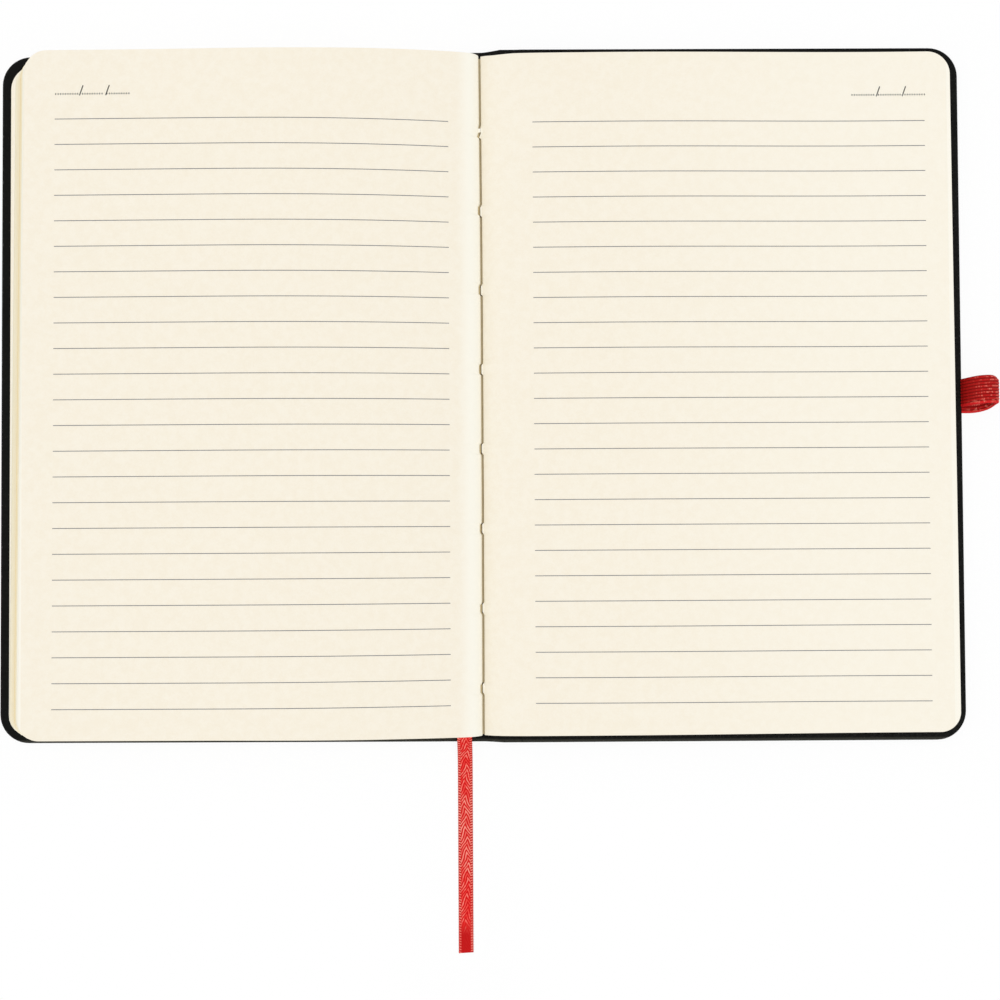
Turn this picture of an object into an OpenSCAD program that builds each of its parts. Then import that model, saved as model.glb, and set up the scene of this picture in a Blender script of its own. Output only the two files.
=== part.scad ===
// Hardcover ruled notebook lying open near its end: a thick stack of sheets on
// the left, a thin one on the right, a ribbon marker and an elastic pen loop.
// Millimetres. +X runs towards the right-hand cover, +Y towards the head, +Z up.
// The origin is on the table, under the middle of the spine.

/* [Pages] */
// Height of a sheet, head to tail
page_h = 210; // [180:1:240]
// Reach of the lowest sheet on each side, from the gutter to its fore edge
sheet_reach = 146.5; // [125:0.5:165]
// Thickness of the left-hand stack
left_stack = 14.5; // [9:0.5:18]
// Thickness of the right-hand stack
right_stack = 2.8; // [2:0.1:5]
// How far the top left-hand sheet has crept back from the lowest one
left_creep = 7.5; // [2:0.5:10]
// How far the top right-hand sheet has crept back from the lowest one
right_creep = 0; // [0:0.1:1]
// Corner radius of the sheets
page_corner = 8; // [4:0.5:12]
// Bunches that show as ripples on the thick fore edge
bunches = 12; // [6:1:16]
// Depth of a ripple between two bunches
bunch_step = 0.2; // [0.1:0.05:0.4]

/* [Gutter] */
// Height of the open gutter above the back of the sheets
gutter_h = 1.8; // [1.4:0.1:2.6]
// Width of the fold line at the bottom of the gutter
fold_w = 0.7; // [0.5:0.1:1]
// Depth of the fold line
fold_depth = 1.2; // [0.8:0.1:1.3]
// Rise of the left page right beside the fold
left_lift = 3.8; // [2:0.2:5]
// Distance over which the left page levels out
left_run = 80; // [60:5:100]
// Height of the bulge of the right page over its fore edge
right_bulge = 2.6; // [1:0.2:4]
// Width of the level top of that bulge, from the gutter
bulge_top = 38; // [25:1:50]
// Width of the slope that follows it
bulge_slope = 92; // [60:2:95]
// Distance from the tail to the middle of the first binding slit
slit_first = 14.2; // [8:0.2:20]
// Distance between slits
slit_pitch = 24.6; // [20:0.2:30]
// Length of a slit
slit_len = 3.8; // [2:0.2:6]

/* [Case] */
// How far the covers stand past the sheets at head and tail
head_square = 2.5; // [1.5:0.25:5]
// How far the front cover stands past the sheets at the fore edge
front_square = 3.25; // [1.5:0.25:5]
// How far the back cover stands past the sheets at the fore edge
back_square = 2.75; // [1.5:0.25:5]
// Thickness of the cover boards
board_t = 2; // [1.6:0.1:3]
// Thickness of the leatherette
wrap_t = 0.4; // [0.3:0.05:0.6]
// Width of the leatherette turned over onto the inside
turn_in = 15; // [10:1:20]
// Corner radius of the covers
cover_corner = 9; // [5:0.5:14]
// Rounding of the covers along their edges
edge_round = 0.9; // [0.7:0.05:1.1]
// Thickness of the endpapers
paper_t = 0.2; // [0.15:0.05:0.3]
// Black border left showing around the pasted endpaper
paste_border = 3; // [2:0.5:6]
// How far the inner edge of the right-hand cover lies above the table
back_lift = 2.8; // [0.5:0.1:3.5]

/* [Spine] */
// Width of the spine strip
spine_w = 14; // [12:0.5:18]
// Thickness of the spine strip
spine_t = 1.2; // [0.8:0.1:1.4]
// Clear distance between the spine strip and a cover board
joint_w = 5.6; // [5:0.2:8]
// Width of the glued back of the sheets
back_w = 13; // [10:0.5:14]
// Part of the back that lies right of the gutter
back_right = 2.5; // [1.5:0.1:3]
// Thickness of the glue on the back
glue_t = 0.2; // [0.1:0.05:0.3]
// Thickness of the lining cloth
lining_t = 0.3; // [0.2:0.05:0.4]

/* [Pen loop] */
// How far the loop stands out of the cover edge
loop_reach = 10.4; // [9:0.2:16]
// Height of the loop over the table
loop_h = 9; // [8:0.2:12]
// Width of the elastic
band_w = 8.8; // [7:0.2:14]
// Thickness of the elastic
band_t = 1.1; // [0.8:0.1:1.2]
// Ribs woven along the elastic
ribs = 9; // [5:1:12]
// Depth of the groove between two ribs
rib_depth = 0.15; // [0.05:0.05:0.25]
// Place of the loop along the cover edge, from its middle
loop_y = -1.2; // [-60:1:60]
// Length of elastic held inside the cover
loop_tail = 13; // [8:1:14]

/* [Ribbon] */
// Width of the ribbon
ribbon_w = 4.6; // [3:0.2:6]
// Thickness of the ribbon
ribbon_t = 0.4; // [0.3:0.05:0.6]

/* [Hidden] */
$fn = 64;

// Outline of the case
cover_h = page_h + 2 * head_square;
front_reach = sheet_reach + front_square;
back_reach = sheet_reach + back_square;
cover_t = board_t + 2 * wrap_t;

// Levels over the table
paste_z = cover_t;
fly_z = paste_z + paper_t;
back_z = fly_z + paper_t;
lining_z = back_z - glue_t;
left_z = back_z + left_stack;
right_z = back_z + right_stack;
gutter_z = back_z + gutter_h;

// Joint between the spine and a cover: the leatherette is pressed up between the boards
spine_half = spine_w / 2;
board_in = spine_half + joint_w;
hinge_x = spine_half + joint_w / 2;
hinge_gap = 0.35;
groove_z = min(0.6 * spine_t + wrap_t, board_t / 2);
groove_run = 1.5;
spine_top = wrap_t + spine_t;

// Right-hand cover: tips about its fore edge, and the spine bends up to it
tilt_x = back_reach - edge_round;
tilt = asin(back_lift / (tilt_x - board_in));
hinge_lift = (tilt_x - hinge_x) * sin(tilt);
bend_x = spine_w / 14;
bend_power = 1.2;
bend_steps = 5;
play = 0.02;

// Left page: levels out from the fold as a power curve, with a steep foot
left_slope = 2.2;
left_foot = 1.6;
left_sag = 0.4;
left_rise = left_z - gutter_z - left_lift;
left_edge = sheet_reach - left_creep;
left_lean = atan2(left_creep, left_stack);

// Right page: rises beside the fold, stays level and slopes to the fore edge
right_foot = 4.7;
right_edge = sheet_reach - right_creep;
right_lean = atan2(right_creep, right_stack);
right_lift = right_z + right_bulge - gutter_z;

// Slits through the fold, as many as fit between tail and head
slit_margin = 10;
slits = 1 + floor((page_h - slit_first - slit_margin) / slit_pitch);
slit_y0 = slit_first - page_h / 2;
slit_w = 1.1;
slit_x = -0.8;
nib_play = 0.1;

// Steps along the curves
left_steps = 30;
right_steps = 26;
loop_steps = 12;
grid_power = 1.7;
reach_over = 5;
lining_short = 15;
foot_run = 0.9;

// Pen loop: comes out of a slit in the cover edge and swells to its belly
loop_mid = loop_h / 2 + 0.3;
loop_slit_z = wrap_t + board_t / 2;
loop_slit_h = board_t / 2;
loop_belly = 0.45 * loop_reach;
loop_roundness = 2.4;
rib_gap = 0.3;

// Route of the ribbon, from the tail of the sheets down to the table: distance past
// the tail of the covers, and height of its middle over the table
RIBBON_X = -5.3;
exit_z = back_z + 1.4;
lying_z = ribbon_t / 2;
RIBBON_ROUTE = [
    [-head_square, exit_z], [-1.2, exit_z - 0.1], [-0.2, exit_z - 0.5], [0.8, exit_z - 1.1],
    [1.8, exit_z - 1.8], [3.2, 1.8], [4.8, 1.1], [6.8, 0.5], [9.8, 0.3], [15, lying_z],
    [23, lying_z], [32, lying_z], [41, lying_z], [50, lying_z], [58, lying_z], [65.3, lying_z]];

// Height of the open left page at distance d left of the gutter
function left_page(d) =
    left_z - left_rise * pow(max(0, 1 - d / left_run), left_slope)
    - left_lift * exp(-(d - fold_w / 2) / left_foot)
    - left_sag * pow(max(0, d - left_run) / left_edge, 2);

// Height of the open right page at distance d right of the gutter
function right_page(d) =
    right_z + right_bulge * bulge(d) - right_lift * exp(-(d - fold_w / 2) / right_foot);

// Share of the bulge that is left at distance d: level, then a cosine slope
function bulge(d) =
    d < bulge_top ? 1
    : d > bulge_top + bulge_slope ? 0
    : (1 + cos(180 * (d - bulge_top) / bulge_slope)) / 2;

// Height of the endpaper pasted to the tipped cover at distance d
function cover_top(d) =
    edge_round + (fly_z - edge_round) / cos(tilt) + (tilt_x - d) * tan(tilt) + play;

// Least height the right-hand stack needs at distance d, over the cover or the joint
function right_floor(d) =
    d > board_in - 1 ? cover_top(d) + paper_t
    : d > spine_half - 2 ? hinge_lift + spine_top + wrap_t + 1.5 * paper_t
    : back_z;

// Underside of the right-hand stack, which lifts off the cover with the bulge
function right_under(d) = max(right_floor(d), right_page(d) - right_stack);

// Rise of the spine at place x
function spine_rise(x) = hinge_lift * pow(max(0, (x - bend_x) / (spine_half - bend_x)), bend_power);

// Distances from the gutter, closer together near it
function spread(from, to, n) = [for (i = [0:n]) from + (to - from) * pow(i / n, grid_power)];

// Rippled fore edge of the thick stack, from the bottom up
function left_fore() = [
    for (i = [0:2 * bunches])
        let (t = i / (2 * bunches))
        [-(sheet_reach - left_creep * t) + (i % 2 == 0 ? bunch_step : 0), back_z + left_stack * t]
];

function reversed(list) = [for (i = [len(list) - 1:-1:0]) list[i]];

// Cross-section of all the sheets, seen from the tail
function block_outline() = concat(
    reversed([for (p = left_fore()) if (p[1] < left_page(left_edge) - 0.1) p]),
    [[back_right, back_z]],
    [for (d = spread(back_right + foot_run, sheet_reach, right_steps)) [d, right_under(d)]],
    reversed([for (d = spread(fold_w / 2, right_edge, right_steps)) [d, right_page(d)]]),
    [[fold_w / 2, gutter_z - fold_depth], [-fold_w / 2, gutter_z - fold_depth]],
    [for (d = spread(fold_w / 2, left_edge, left_steps)) [-d, left_page(d)]]
);

// Extrudes an outline drawn in X and Z along Y, centred on the gutter's middle
module along_y(length) {
    translate([0, length / 2, 0])
        rotate([90, 0, 0])
            linear_extrude(length)
                children();
}

// What is cut off the corners of the sheets, leaning with their fore edge
module sheet_corners(lean) {
    translate([-sheet_reach, 0, back_z])
        rotate([0, lean, 0])
            for (side = [-1, 1])
                scale([1, side, 1])
                    translate([0, page_h / 2 - page_corner, 0])
                        difference() {
                            translate([-reach_over, 0, -reach_over])
                                cube([page_corner + reach_over, page_corner + reach_over, 3 * left_stack]);
                            translate([page_corner, 0, -2 * reach_over])
                                cylinder(r = page_corner, h = 3 * left_stack + 2 * reach_over);
                        }
}

module left_corners() {
    sheet_corners(left_lean);
}

module right_corners() {
    mirror([1, 0, 0])
        sheet_corners(right_lean);
}

module slit_row(x, w, len, z0, z1) {
    for (i = [0:slits - 1])
        translate([x, slit_y0 + slit_pitch * i - len / 2, z0])
            cube([w, len, z1 - z0]);
}

// All the sheets of the book, open as one solid
module text_block() {
    color([0.96, 0.94, 0.86])
        difference() {
            along_y(page_h)
                polygon(block_outline());
            left_corners();
            right_corners();
            slit_row(slit_x, slit_w, slit_len, back_z - 1, gutter_z + 1);
        }
}

// Glue on the back of the sheets, with nibs that show through the slits
module binding_glue() {
    color([0.93, 0.91, 0.84]) {
        translate([back_right - back_w, -page_h / 2, lining_z])
            cube([back_w, page_h, glue_t]);
        slit_row(slit_x + nib_play, slit_w - 2 * nib_play, slit_len - 2 * nib_play,
            lining_z, gutter_z - fold_depth / 2);
    }
}

// Lining cloth over the back, with a flange into each joint
module spine_lining() {
    toe = hinge_x - hinge_gap;
    heel = toe - foot_run;
    z0 = groove_z + wrap_t;
    z1 = z0 + hinge_lift;
    ridge = spine_top + hinge_lift + play;
    color([0.88, 0.86, 0.78])
        along_y(page_h - 2 * lining_short)
            polygon([
                [-toe, z0], [-heel, z0], [-heel + 2 * lining_t, lining_z - lining_t],
                [back_right, lining_z - lining_t], [spine_half, ridge], [heel, z1], [toe, z1],
                [toe, z1 + lining_t], [heel, z1 + lining_t], [spine_half, ridge + lining_t],
                [back_right, lining_z],
                [back_right - back_w, lining_z], [back_right - back_w, lining_z - lining_t],
                [-heel + lining_t, lining_z - lining_t], [-heel - lining_t / 2, z0 + lining_t],
                [-toe, z0 + lining_t]]);
}

// Free half of the front endpaper, under the thick stack
module front_flyleaf() {
    color([0.95, 0.93, 0.85])
        difference() {
            translate([-sheet_reach, -page_h / 2, fly_z])
                cube([sheet_reach + back_right - back_w, page_h, paper_t]);
            left_corners();
        }
}

// Free half of the back endpaper, which follows the underside of the thin stack
module back_flyleaf() {
    steps = spread(back_right + foot_run, sheet_reach, right_steps);
    color([0.95, 0.93, 0.85])
        difference() {
            along_y(page_h)
                polygon(concat(
                    [for (d = steps) [d, right_under(d)]],
                    reversed([for (d = steps) [d, right_under(d) - paper_t]])));
            right_corners();
        }
}

// Edge of a cover, drawn outwards from the corner's middle, rounded top and bottom
module edge_profile(r, t, round_r) {
    union() {
        square([r - round_r, t]);
        translate([0, round_r])
            square([r, t - 2 * round_r]);
        translate([r - round_r, round_r])
            circle(r = round_r);
        translate([r - round_r, t - round_r])
            circle(r = round_r);
    }
}

// Plate from x_in to x_out with rounded fore corners and rounded edges
module cover_plate(x_in, x_out, h, corner, t, round_r) {
    flat = h / 2 - corner;
    union() {
        translate([x_in, -flat, 0])
            cube([x_out - corner - x_in, 2 * flat, t]);
        translate([x_out - corner, flat, 0])
            rotate([90, 0, 0])
                linear_extrude(2 * flat)
                    edge_profile(corner, t, round_r);
        for (side = [0, 1])
            mirror([0, side, 0]) {
                translate([x_in, flat, 0])
                    rotate([90, 0, 90])
                        linear_extrude(x_out - corner - x_in)
                            edge_profile(corner, t, round_r);
                translate([x_out - corner, flat, 0])
                    rotate_extrude(angle = 90)
                        edge_profile(corner, t, round_r);
            }
    }
}

// Board of a cover, inside its leatherette, drawn on the right
module board_shape(reach) {
    translate([0, 0, wrap_t])
        cover_plate(board_in, reach - wrap_t, cover_h - 2 * wrap_t,
            cover_corner - wrap_t, board_t, edge_round - wrap_t);
}

// Leatherette in a joint: from the foot of a board up to the hinge line
module joint_sheet(x_board, x_hinge) {
    run = x_board > x_hinge ? groove_run : -groove_run;
    polygon([
        [x_board, 0], [x_board - run / 3, groove_z * 0.2], [x_board - 2 * run / 3, groove_z * 0.8],
        [x_board - run, groove_z], [x_hinge, groove_z], [x_hinge, groove_z + wrap_t],
        [x_board - run, groove_z + wrap_t], [x_board - 0.6 * run, groove_z * 0.8 + wrap_t],
        [x_board - 0.25 * run, groove_z * 0.2 + wrap_t], [x_board, wrap_t]]);
}

// Leatherette in a joint: turned in at head and tail, where it also climbs the board's edge
module joint_strip(x_board, x_hinge, top) {
    x_edge = x_board > x_hinge ? x_board - wrap_t : x_board;
    along_y(cover_h)
        joint_sheet(x_board, x_hinge);
    for (side = [-1, 1]) {
        translate([0, side * (cover_h - turn_in) / 2, wrap_t])
            along_y(turn_in)
                joint_sheet(x_board, x_hinge);
        translate([x_edge, side * ((cover_h - turn_in) / 2 - edge_round), 0])
            along_y(turn_in)
                square([wrap_t, top]);
    }
}

// Leatherette of a cover: outside, edges, turn-ins and half the joint
module wrap_shape(reach) {
    difference() {
        cover_plate(board_in, reach, cover_h, cover_corner, cover_t, edge_round);
        board_shape(reach);
        translate([board_in - 1, -(cover_h / 2 - turn_in), wrap_t + board_t])
            cube([reach - turn_in - board_in + 1, cover_h - 2 * turn_in, 2 * wrap_t]);
    }
    joint_strip(board_in, hinge_x + hinge_gap, cover_t);
}

// Endpaper pasted down: over the turn-ins and into the shallow well between them
module pastedown_shape(reach) {
    well_x = reach - turn_in - paper_t;
    well_y = cover_h / 2 - turn_in - paper_t;
    top = paste_z + paper_t;
    difference() {
        union() {
            translate([0, 0, paste_z])
                intersection() {
                    translate([board_in, -cover_h / 2, 0])
                        cube([reach, cover_h, paper_t]);
                    linear_extrude(paper_t)
                        pastedown_outline(reach);
                }
            translate([board_in, -well_y - paper_t, wrap_t + board_t])
                cube([well_x + paper_t - board_in, 2 * (well_y + paper_t), top - wrap_t - board_t]);
        }
        translate([board_in - 1, -well_y, wrap_t + board_t + paper_t])
            cube([well_x - board_in + 1, 2 * well_y, top]);
    }
}

// Outline of the pasted endpaper, with round fore corners
module pastedown_outline(reach) {
    r = cover_corner - paste_border / 2;
    out = reach - paste_border;
    half = cover_h / 2 - paste_border;
    union() {
        translate([0, -half])
            square([out - r, 2 * half]);
        translate([0, -half + r])
            square([out, 2 * (half - r)]);
        for (side = [-1, 1])
            translate([out - r, side * (half - r)])
                circle(r = r);
    }
}

module front_board() {
    color([0.55, 0.53, 0.5])
        mirror([1, 0, 0])
            board_shape(front_reach);
}

module front_wrap() {
    color([0.09, 0.09, 0.08])
        mirror([1, 0, 0])
            wrap_shape(front_reach);
}

module front_pastedown() {
    color([0.95, 0.93, 0.85])
        mirror([1, 0, 0])
            pastedown_shape(front_reach);
}

// Pocket for the ends of the pen loop, at the level of the board's inner half
module loop_pocket() {
    translate([back_reach - loop_tail, loop_y - band_w / 2, loop_slit_z])
        cube([loop_tail + 1, band_w, loop_slit_h]);
}

// Tips the right-hand cover about its fore edge, so that its inner edge is raised
module tipped() {
    translate([tilt_x, 0, edge_round])
        rotate([0, tilt, 0])
            translate([-tilt_x, 0, -edge_round])
                children();
}

module back_board() {
    color([0.55, 0.53, 0.5])
        tipped()
            difference() {
                board_shape(back_reach);
                loop_pocket();
            }
}

module back_wrap() {
    color([0.09, 0.09, 0.08])
        tipped()
            difference() {
                wrap_shape(back_reach);
                loop_pocket();
            }
}

module back_pastedown() {
    color([0.95, 0.93, 0.85])
        tipped()
            pastedown_shape(back_reach);
}

// Cross-section of the spine from level z0 to z1: flat, then bent up to the raised cover
module spine_section(z0, z1) {
    xs = concat([-spine_half],
        [for (i = [0:bend_steps]) bend_x + (spine_half - bend_x) * i / bend_steps]);
    polygon(concat(
        [for (x = xs) [x, z0 + spine_rise(x)]],
        reversed([for (x = xs) [x, z1 + spine_rise(x)]])));
}

// Strip of card that stiffens the spine
module spine_board() {
    color([0.55, 0.53, 0.5])
        along_y(cover_h - 2 * wrap_t)
            spine_section(wrap_t, spine_top);
}

// Leatherette of the spine with both its joints, turned in at head and tail
module spine_wrap() {
    top = spine_top + wrap_t;
    color([0.09, 0.09, 0.08])
        difference() {
            union() {
                along_y(cover_h)
                    spine_section(0, wrap_t);
                translate([0, 0, hinge_lift])
                    joint_strip(spine_half, hinge_x - hinge_gap, top);
                joint_strip(-spine_half, -hinge_x + hinge_gap, top);
                for (side = [-1, 1])
                    translate([0, side * (cover_h - turn_in) / 2, 0])
                        along_y(turn_in)
                            spine_section(0, top);
            }
            spine_board();
        }
}

// Half height of the loop at distance x from the cover edge, drawn shrink smaller all round
function loop_half(x, shrink) =
    let (
        full = loop_h / 2 - shrink,
        throat = loop_slit_h / 2 - shrink,
        end = loop_reach - shrink
    )
    x < loop_belly ? throat + (full - throat) * sin(90 * x / loop_belly)
    : full * sqrt(max(0, 1 - pow((x - loop_belly) / (end - loop_belly), loop_roundness)));

// Height of the loop's middle line, which rises from the slit to the belly
function loop_middle(x) =
    loop_slit_z + loop_slit_h / 2
    + (loop_mid - loop_slit_z - loop_slit_h / 2) * sin(90 * min(1, x / loop_belly));

// Outline of the loop from distance x0 to its far end
function loop_outline(x0, shrink) =
    let (
        span = loop_reach - shrink - x0,
        xs = [for (i = [0:loop_steps]) x0 + span * sin(90 * i / loop_steps)]
    )
    concat(
        [for (x = xs) [x, loop_middle(x) + loop_half(x, shrink)]],
        reversed([for (i = [0:loop_steps - 1])
            [xs[i], loop_middle(xs[i]) - loop_half(xs[i], shrink)]]));

// Ring of elastic seen along the pen, thinner by the relief on both faces
module loop_section(relief) {
    difference() {
        polygon(loop_outline(0, relief));
        polygon(loop_outline(band_t, band_t - relief));
    }
}

// Elastic pen loop: ribbed band folded round, its ends held inside the cover
module pen_loop() {
    rib_w = (band_w - rib_gap * (ribs - 1)) / ribs;
    color([0.72, 0.05, 0.07])
        tipped() {
            translate([back_reach - loop_tail, loop_y - band_w / 2, loop_slit_z])
                cube([loop_tail, band_w, loop_slit_h]);
            translate([back_reach, loop_y, 0]) {
                along_y(band_w)
                    loop_section(rib_depth);
                for (i = [0:ribs - 1])
                    translate([0, -band_w / 2 + rib_w / 2 + (rib_w + rib_gap) * i, 0])
                        along_y(rib_w)
                            loop_section(0);
            }
        }
}

// Corners of the ribbon's flat section at route point i: eight sides, thin at the selvedges
function ribbon_ring(i) =
    let (
        p = RIBBON_ROUTE[i],
        a = RIBBON_ROUTE[max(0, i - 1)],
        b = RIBBON_ROUTE[min(len(RIBBON_ROUTE) - 1, i + 1)],
        dir = (b - a) / norm(b - a),
        up = i == 0 ? [0, 1] : [-dir[1], dir[0]],
        w = ribbon_w / 2,
        t = ribbon_t / 2,
        section = [[-w, -t / 2], [-w * 0.9, -t], [w * 0.9, -t], [w, -t / 2],
            [w, t / 2], [w * 0.9, t], [-w * 0.9, t], [-w, t / 2]]
    )
    [for (q = section)
        [RIBBON_X + q[0], -cover_h / 2 - p[0] - up[0] * q[1], p[1] + up[1] * q[1]]];

// Ribbon marker that comes out at the tail and lies on the table
module ribbon() {
    sides = 8;
    rings = len(RIBBON_ROUTE);
    color([0.8, 0.06, 0.08])
        polyhedron(
            points = [for (i = [0:rings - 1]) each ribbon_ring(i)],
            faces = concat(
                [[for (k = [0:sides - 1]) k]],
                [[for (k = [sides - 1:-1:0]) (rings - 1) * sides + k]],
                [for (i = [0:rings - 2]) for (k = [0:sides - 1])
                    let (n = (k + 1) % sides)
                    [i * sides + k, (i + 1) * sides + k, (i + 1) * sides + n, i * sides + n]]));
}

text_block();
binding_glue();
spine_lining();
front_flyleaf();
back_flyleaf();
spine_board();
spine_wrap();
front_board();
front_wrap();
front_pastedown();
back_board();
back_wrap();
back_pastedown();
pen_loop();
ribbon();
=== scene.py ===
"""Looks, light and camera of an open hardcover notebook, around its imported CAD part.

Everything is in metres in the part's own frame: +X towards the right-hand cover, +Y towards the head,
+Z up, with the origin on the table under the middle of the spine.
"""

import logging
import math
import random
from dataclasses import dataclass, field
from enum import Enum
from functools import reduce
from typing import Callable, Iterable

import bmesh
import bpy
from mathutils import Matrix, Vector, noise


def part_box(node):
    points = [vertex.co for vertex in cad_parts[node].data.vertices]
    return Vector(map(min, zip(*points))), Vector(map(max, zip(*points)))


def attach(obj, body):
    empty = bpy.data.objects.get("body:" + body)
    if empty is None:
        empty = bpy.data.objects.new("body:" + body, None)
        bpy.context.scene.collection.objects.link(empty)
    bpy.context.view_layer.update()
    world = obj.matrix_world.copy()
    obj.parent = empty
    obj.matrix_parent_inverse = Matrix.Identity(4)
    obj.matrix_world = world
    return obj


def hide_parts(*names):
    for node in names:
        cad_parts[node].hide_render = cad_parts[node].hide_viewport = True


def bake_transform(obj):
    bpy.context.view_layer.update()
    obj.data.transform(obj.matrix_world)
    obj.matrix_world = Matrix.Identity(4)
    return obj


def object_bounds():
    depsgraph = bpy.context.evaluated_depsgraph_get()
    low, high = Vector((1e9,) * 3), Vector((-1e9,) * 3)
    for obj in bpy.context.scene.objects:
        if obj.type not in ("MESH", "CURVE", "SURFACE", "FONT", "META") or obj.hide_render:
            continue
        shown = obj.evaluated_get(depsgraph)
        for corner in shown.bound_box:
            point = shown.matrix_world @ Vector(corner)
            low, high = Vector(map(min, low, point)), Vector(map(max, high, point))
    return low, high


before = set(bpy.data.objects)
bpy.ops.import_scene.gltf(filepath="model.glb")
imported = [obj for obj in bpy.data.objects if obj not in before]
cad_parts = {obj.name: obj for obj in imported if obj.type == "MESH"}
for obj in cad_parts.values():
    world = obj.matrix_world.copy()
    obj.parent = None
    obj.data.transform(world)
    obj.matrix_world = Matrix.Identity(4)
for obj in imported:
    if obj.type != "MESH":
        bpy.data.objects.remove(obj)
CAD_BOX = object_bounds()

log = logging.getLogger("notebook")

BOOK = "book_block"
FRONT = "front_cover"
BACK = "back_cover"
SHEET_MAP = "sheet"

FLOAT = "NodeSocketFloat"
VECTOR = "NodeSocketVector"
COLOUR = "NodeSocketColor"

# A Span runs from its first value to its second. A Ramp adds what comes out at each of them.
Span = tuple[float, float]
Ramp = tuple[float, float, float, float]
Pair = tuple[float, float]
Triple = tuple[float, float, float]
Point = tuple[float, float, float]
Steps = tuple[int, int]
Rgb = tuple[int, int, int]
Linear = tuple[float, float, float, float]


class Side(Enum):
    """Side of the gutter, as the sign of its X."""

    LEFT = -1
    RIGHT = 1


# Small tools


def linear(colour: Rgb) -> Linear:
    """Turns a colour as seen on a screen into the linear values that shaders take.

    Args:
        colour: Red, green and blue from 0 to 255.

    Returns:
        Linear red, green and blue, and an alpha of 1.
    """
    parts = [c / 255 for c in colour]
    made = [p / 12.92 if p <= 0.04045 else ((p + 0.055) / 1.055) ** 2.4 for p in parts]
    return made[0], made[1], made[2], 1.0


def smooth_step(value: float, low: float, high: float) -> float:
    """Rises smoothly from 0 at low to 1 at high."""
    share = min(1.0, max(0.0, (value - low) / (high - low)))
    return share * share * (3 - 2 * share)


def spread(start: float, end: float, share: float, power: float = 1.7) -> float:
    """Place at a share of the way from start to end, with the steps closer together near start."""
    return start + (end - start) * share**power


class Mesh:
    """A piece in the making: a bmesh whose vertices remember their place on the sheet they came from."""

    sharp_angle = math.radians(35)

    def __init__(self) -> None:
        """Starts an empty piece."""
        self.bm = bmesh.new()
        self.across = self.bm.verts.layers.float.new("across")
        self.along = self.bm.verts.layers.float.new("along")
        self.uv = self.bm.loops.layers.uv.new(SHEET_MAP)

    def add_sheet(
        self,
        columns: int,
        rows: int,
        place: Callable[[float, float], Point],
        underside: Callable[[float, float], Point],
        wall_material: int = 0,
        face_material: int = 0,
    ) -> None:
        """Adds one sheet: a grid bent to its face and extruded to its underside.

        Args:
            columns: Steps across the sheet.
            rows: Steps along the sheet.
            place: Gives the point of the face at shares (across, along) of the sheet.
            underside: Gives the point of the underside at the same shares.
            wall_material: Material index of the sheet's edges.
            face_material: Material index of the rest of it.
        """
        made = bmesh.ops.create_grid(self.bm, x_segments=columns, y_segments=rows, size=0.5)
        grid = made["verts"]
        grid_set = set(grid)
        for vert in grid:
            vert[self.across] = vert.co.x + 0.5
            vert[self.along] = vert.co.y + 0.5
        faces = list({f for v in grid for f in v.link_faces})
        grown = bmesh.ops.extrude_face_region(self.bm, geom=faces)["geom"]
        lower = [g for g in grown if isinstance(g, bmesh.types.BMVert)]
        lower_set = set(lower)
        for vert in lower:
            vert.co = underside(vert[self.across], vert[self.along])
        for face in {f for v in lower for f in v.link_faces}:
            wall = not all(v in lower_set for v in face.verts)
            face.material_index = wall_material if wall else face_material
        for vert in grid:
            vert.co = place(vert[self.across], vert[self.along])
        for face in {f for v in grid for f in v.link_faces if all(c in grid_set for c in f.verts)}:
            face.material_index = face_material

    def finish(
        self,
        name: str,
        finishes: Iterable[bpy.types.Material],
        smooth: bool = True,
    ) -> bpy.types.Object:
        """Writes the piece into the scene.

        Args:
            name: Name of the piece.
            finishes: Its materials, in slot order.
            smooth: Whether its faces are shaded smooth, up to edges past the sharp angle.

        Returns:
            The new object, at the origin.
        """
        for face in self.bm.faces:
            for loop in face.loops:
                loop[self.uv].uv = (loop.vert[self.across], loop.vert[self.along])
        bmesh.ops.recalc_face_normals(self.bm, faces=self.bm.faces[:])
        for edge in self.bm.edges:
            edge.smooth = len(edge.link_faces) != 2 or edge.calc_face_angle(0.0) < self.sharp_angle
        for face in self.bm.faces:
            face.smooth = smooth
        data = bpy.data.meshes.new(name)
        self.bm.to_mesh(data)
        self.bm.free()
        for finish in finishes:
            data.materials.append(finish)
        piece = bpy.data.objects.new(name, data)
        bpy.context.scene.collection.objects.link(piece)
        return piece


# Materials


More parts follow.
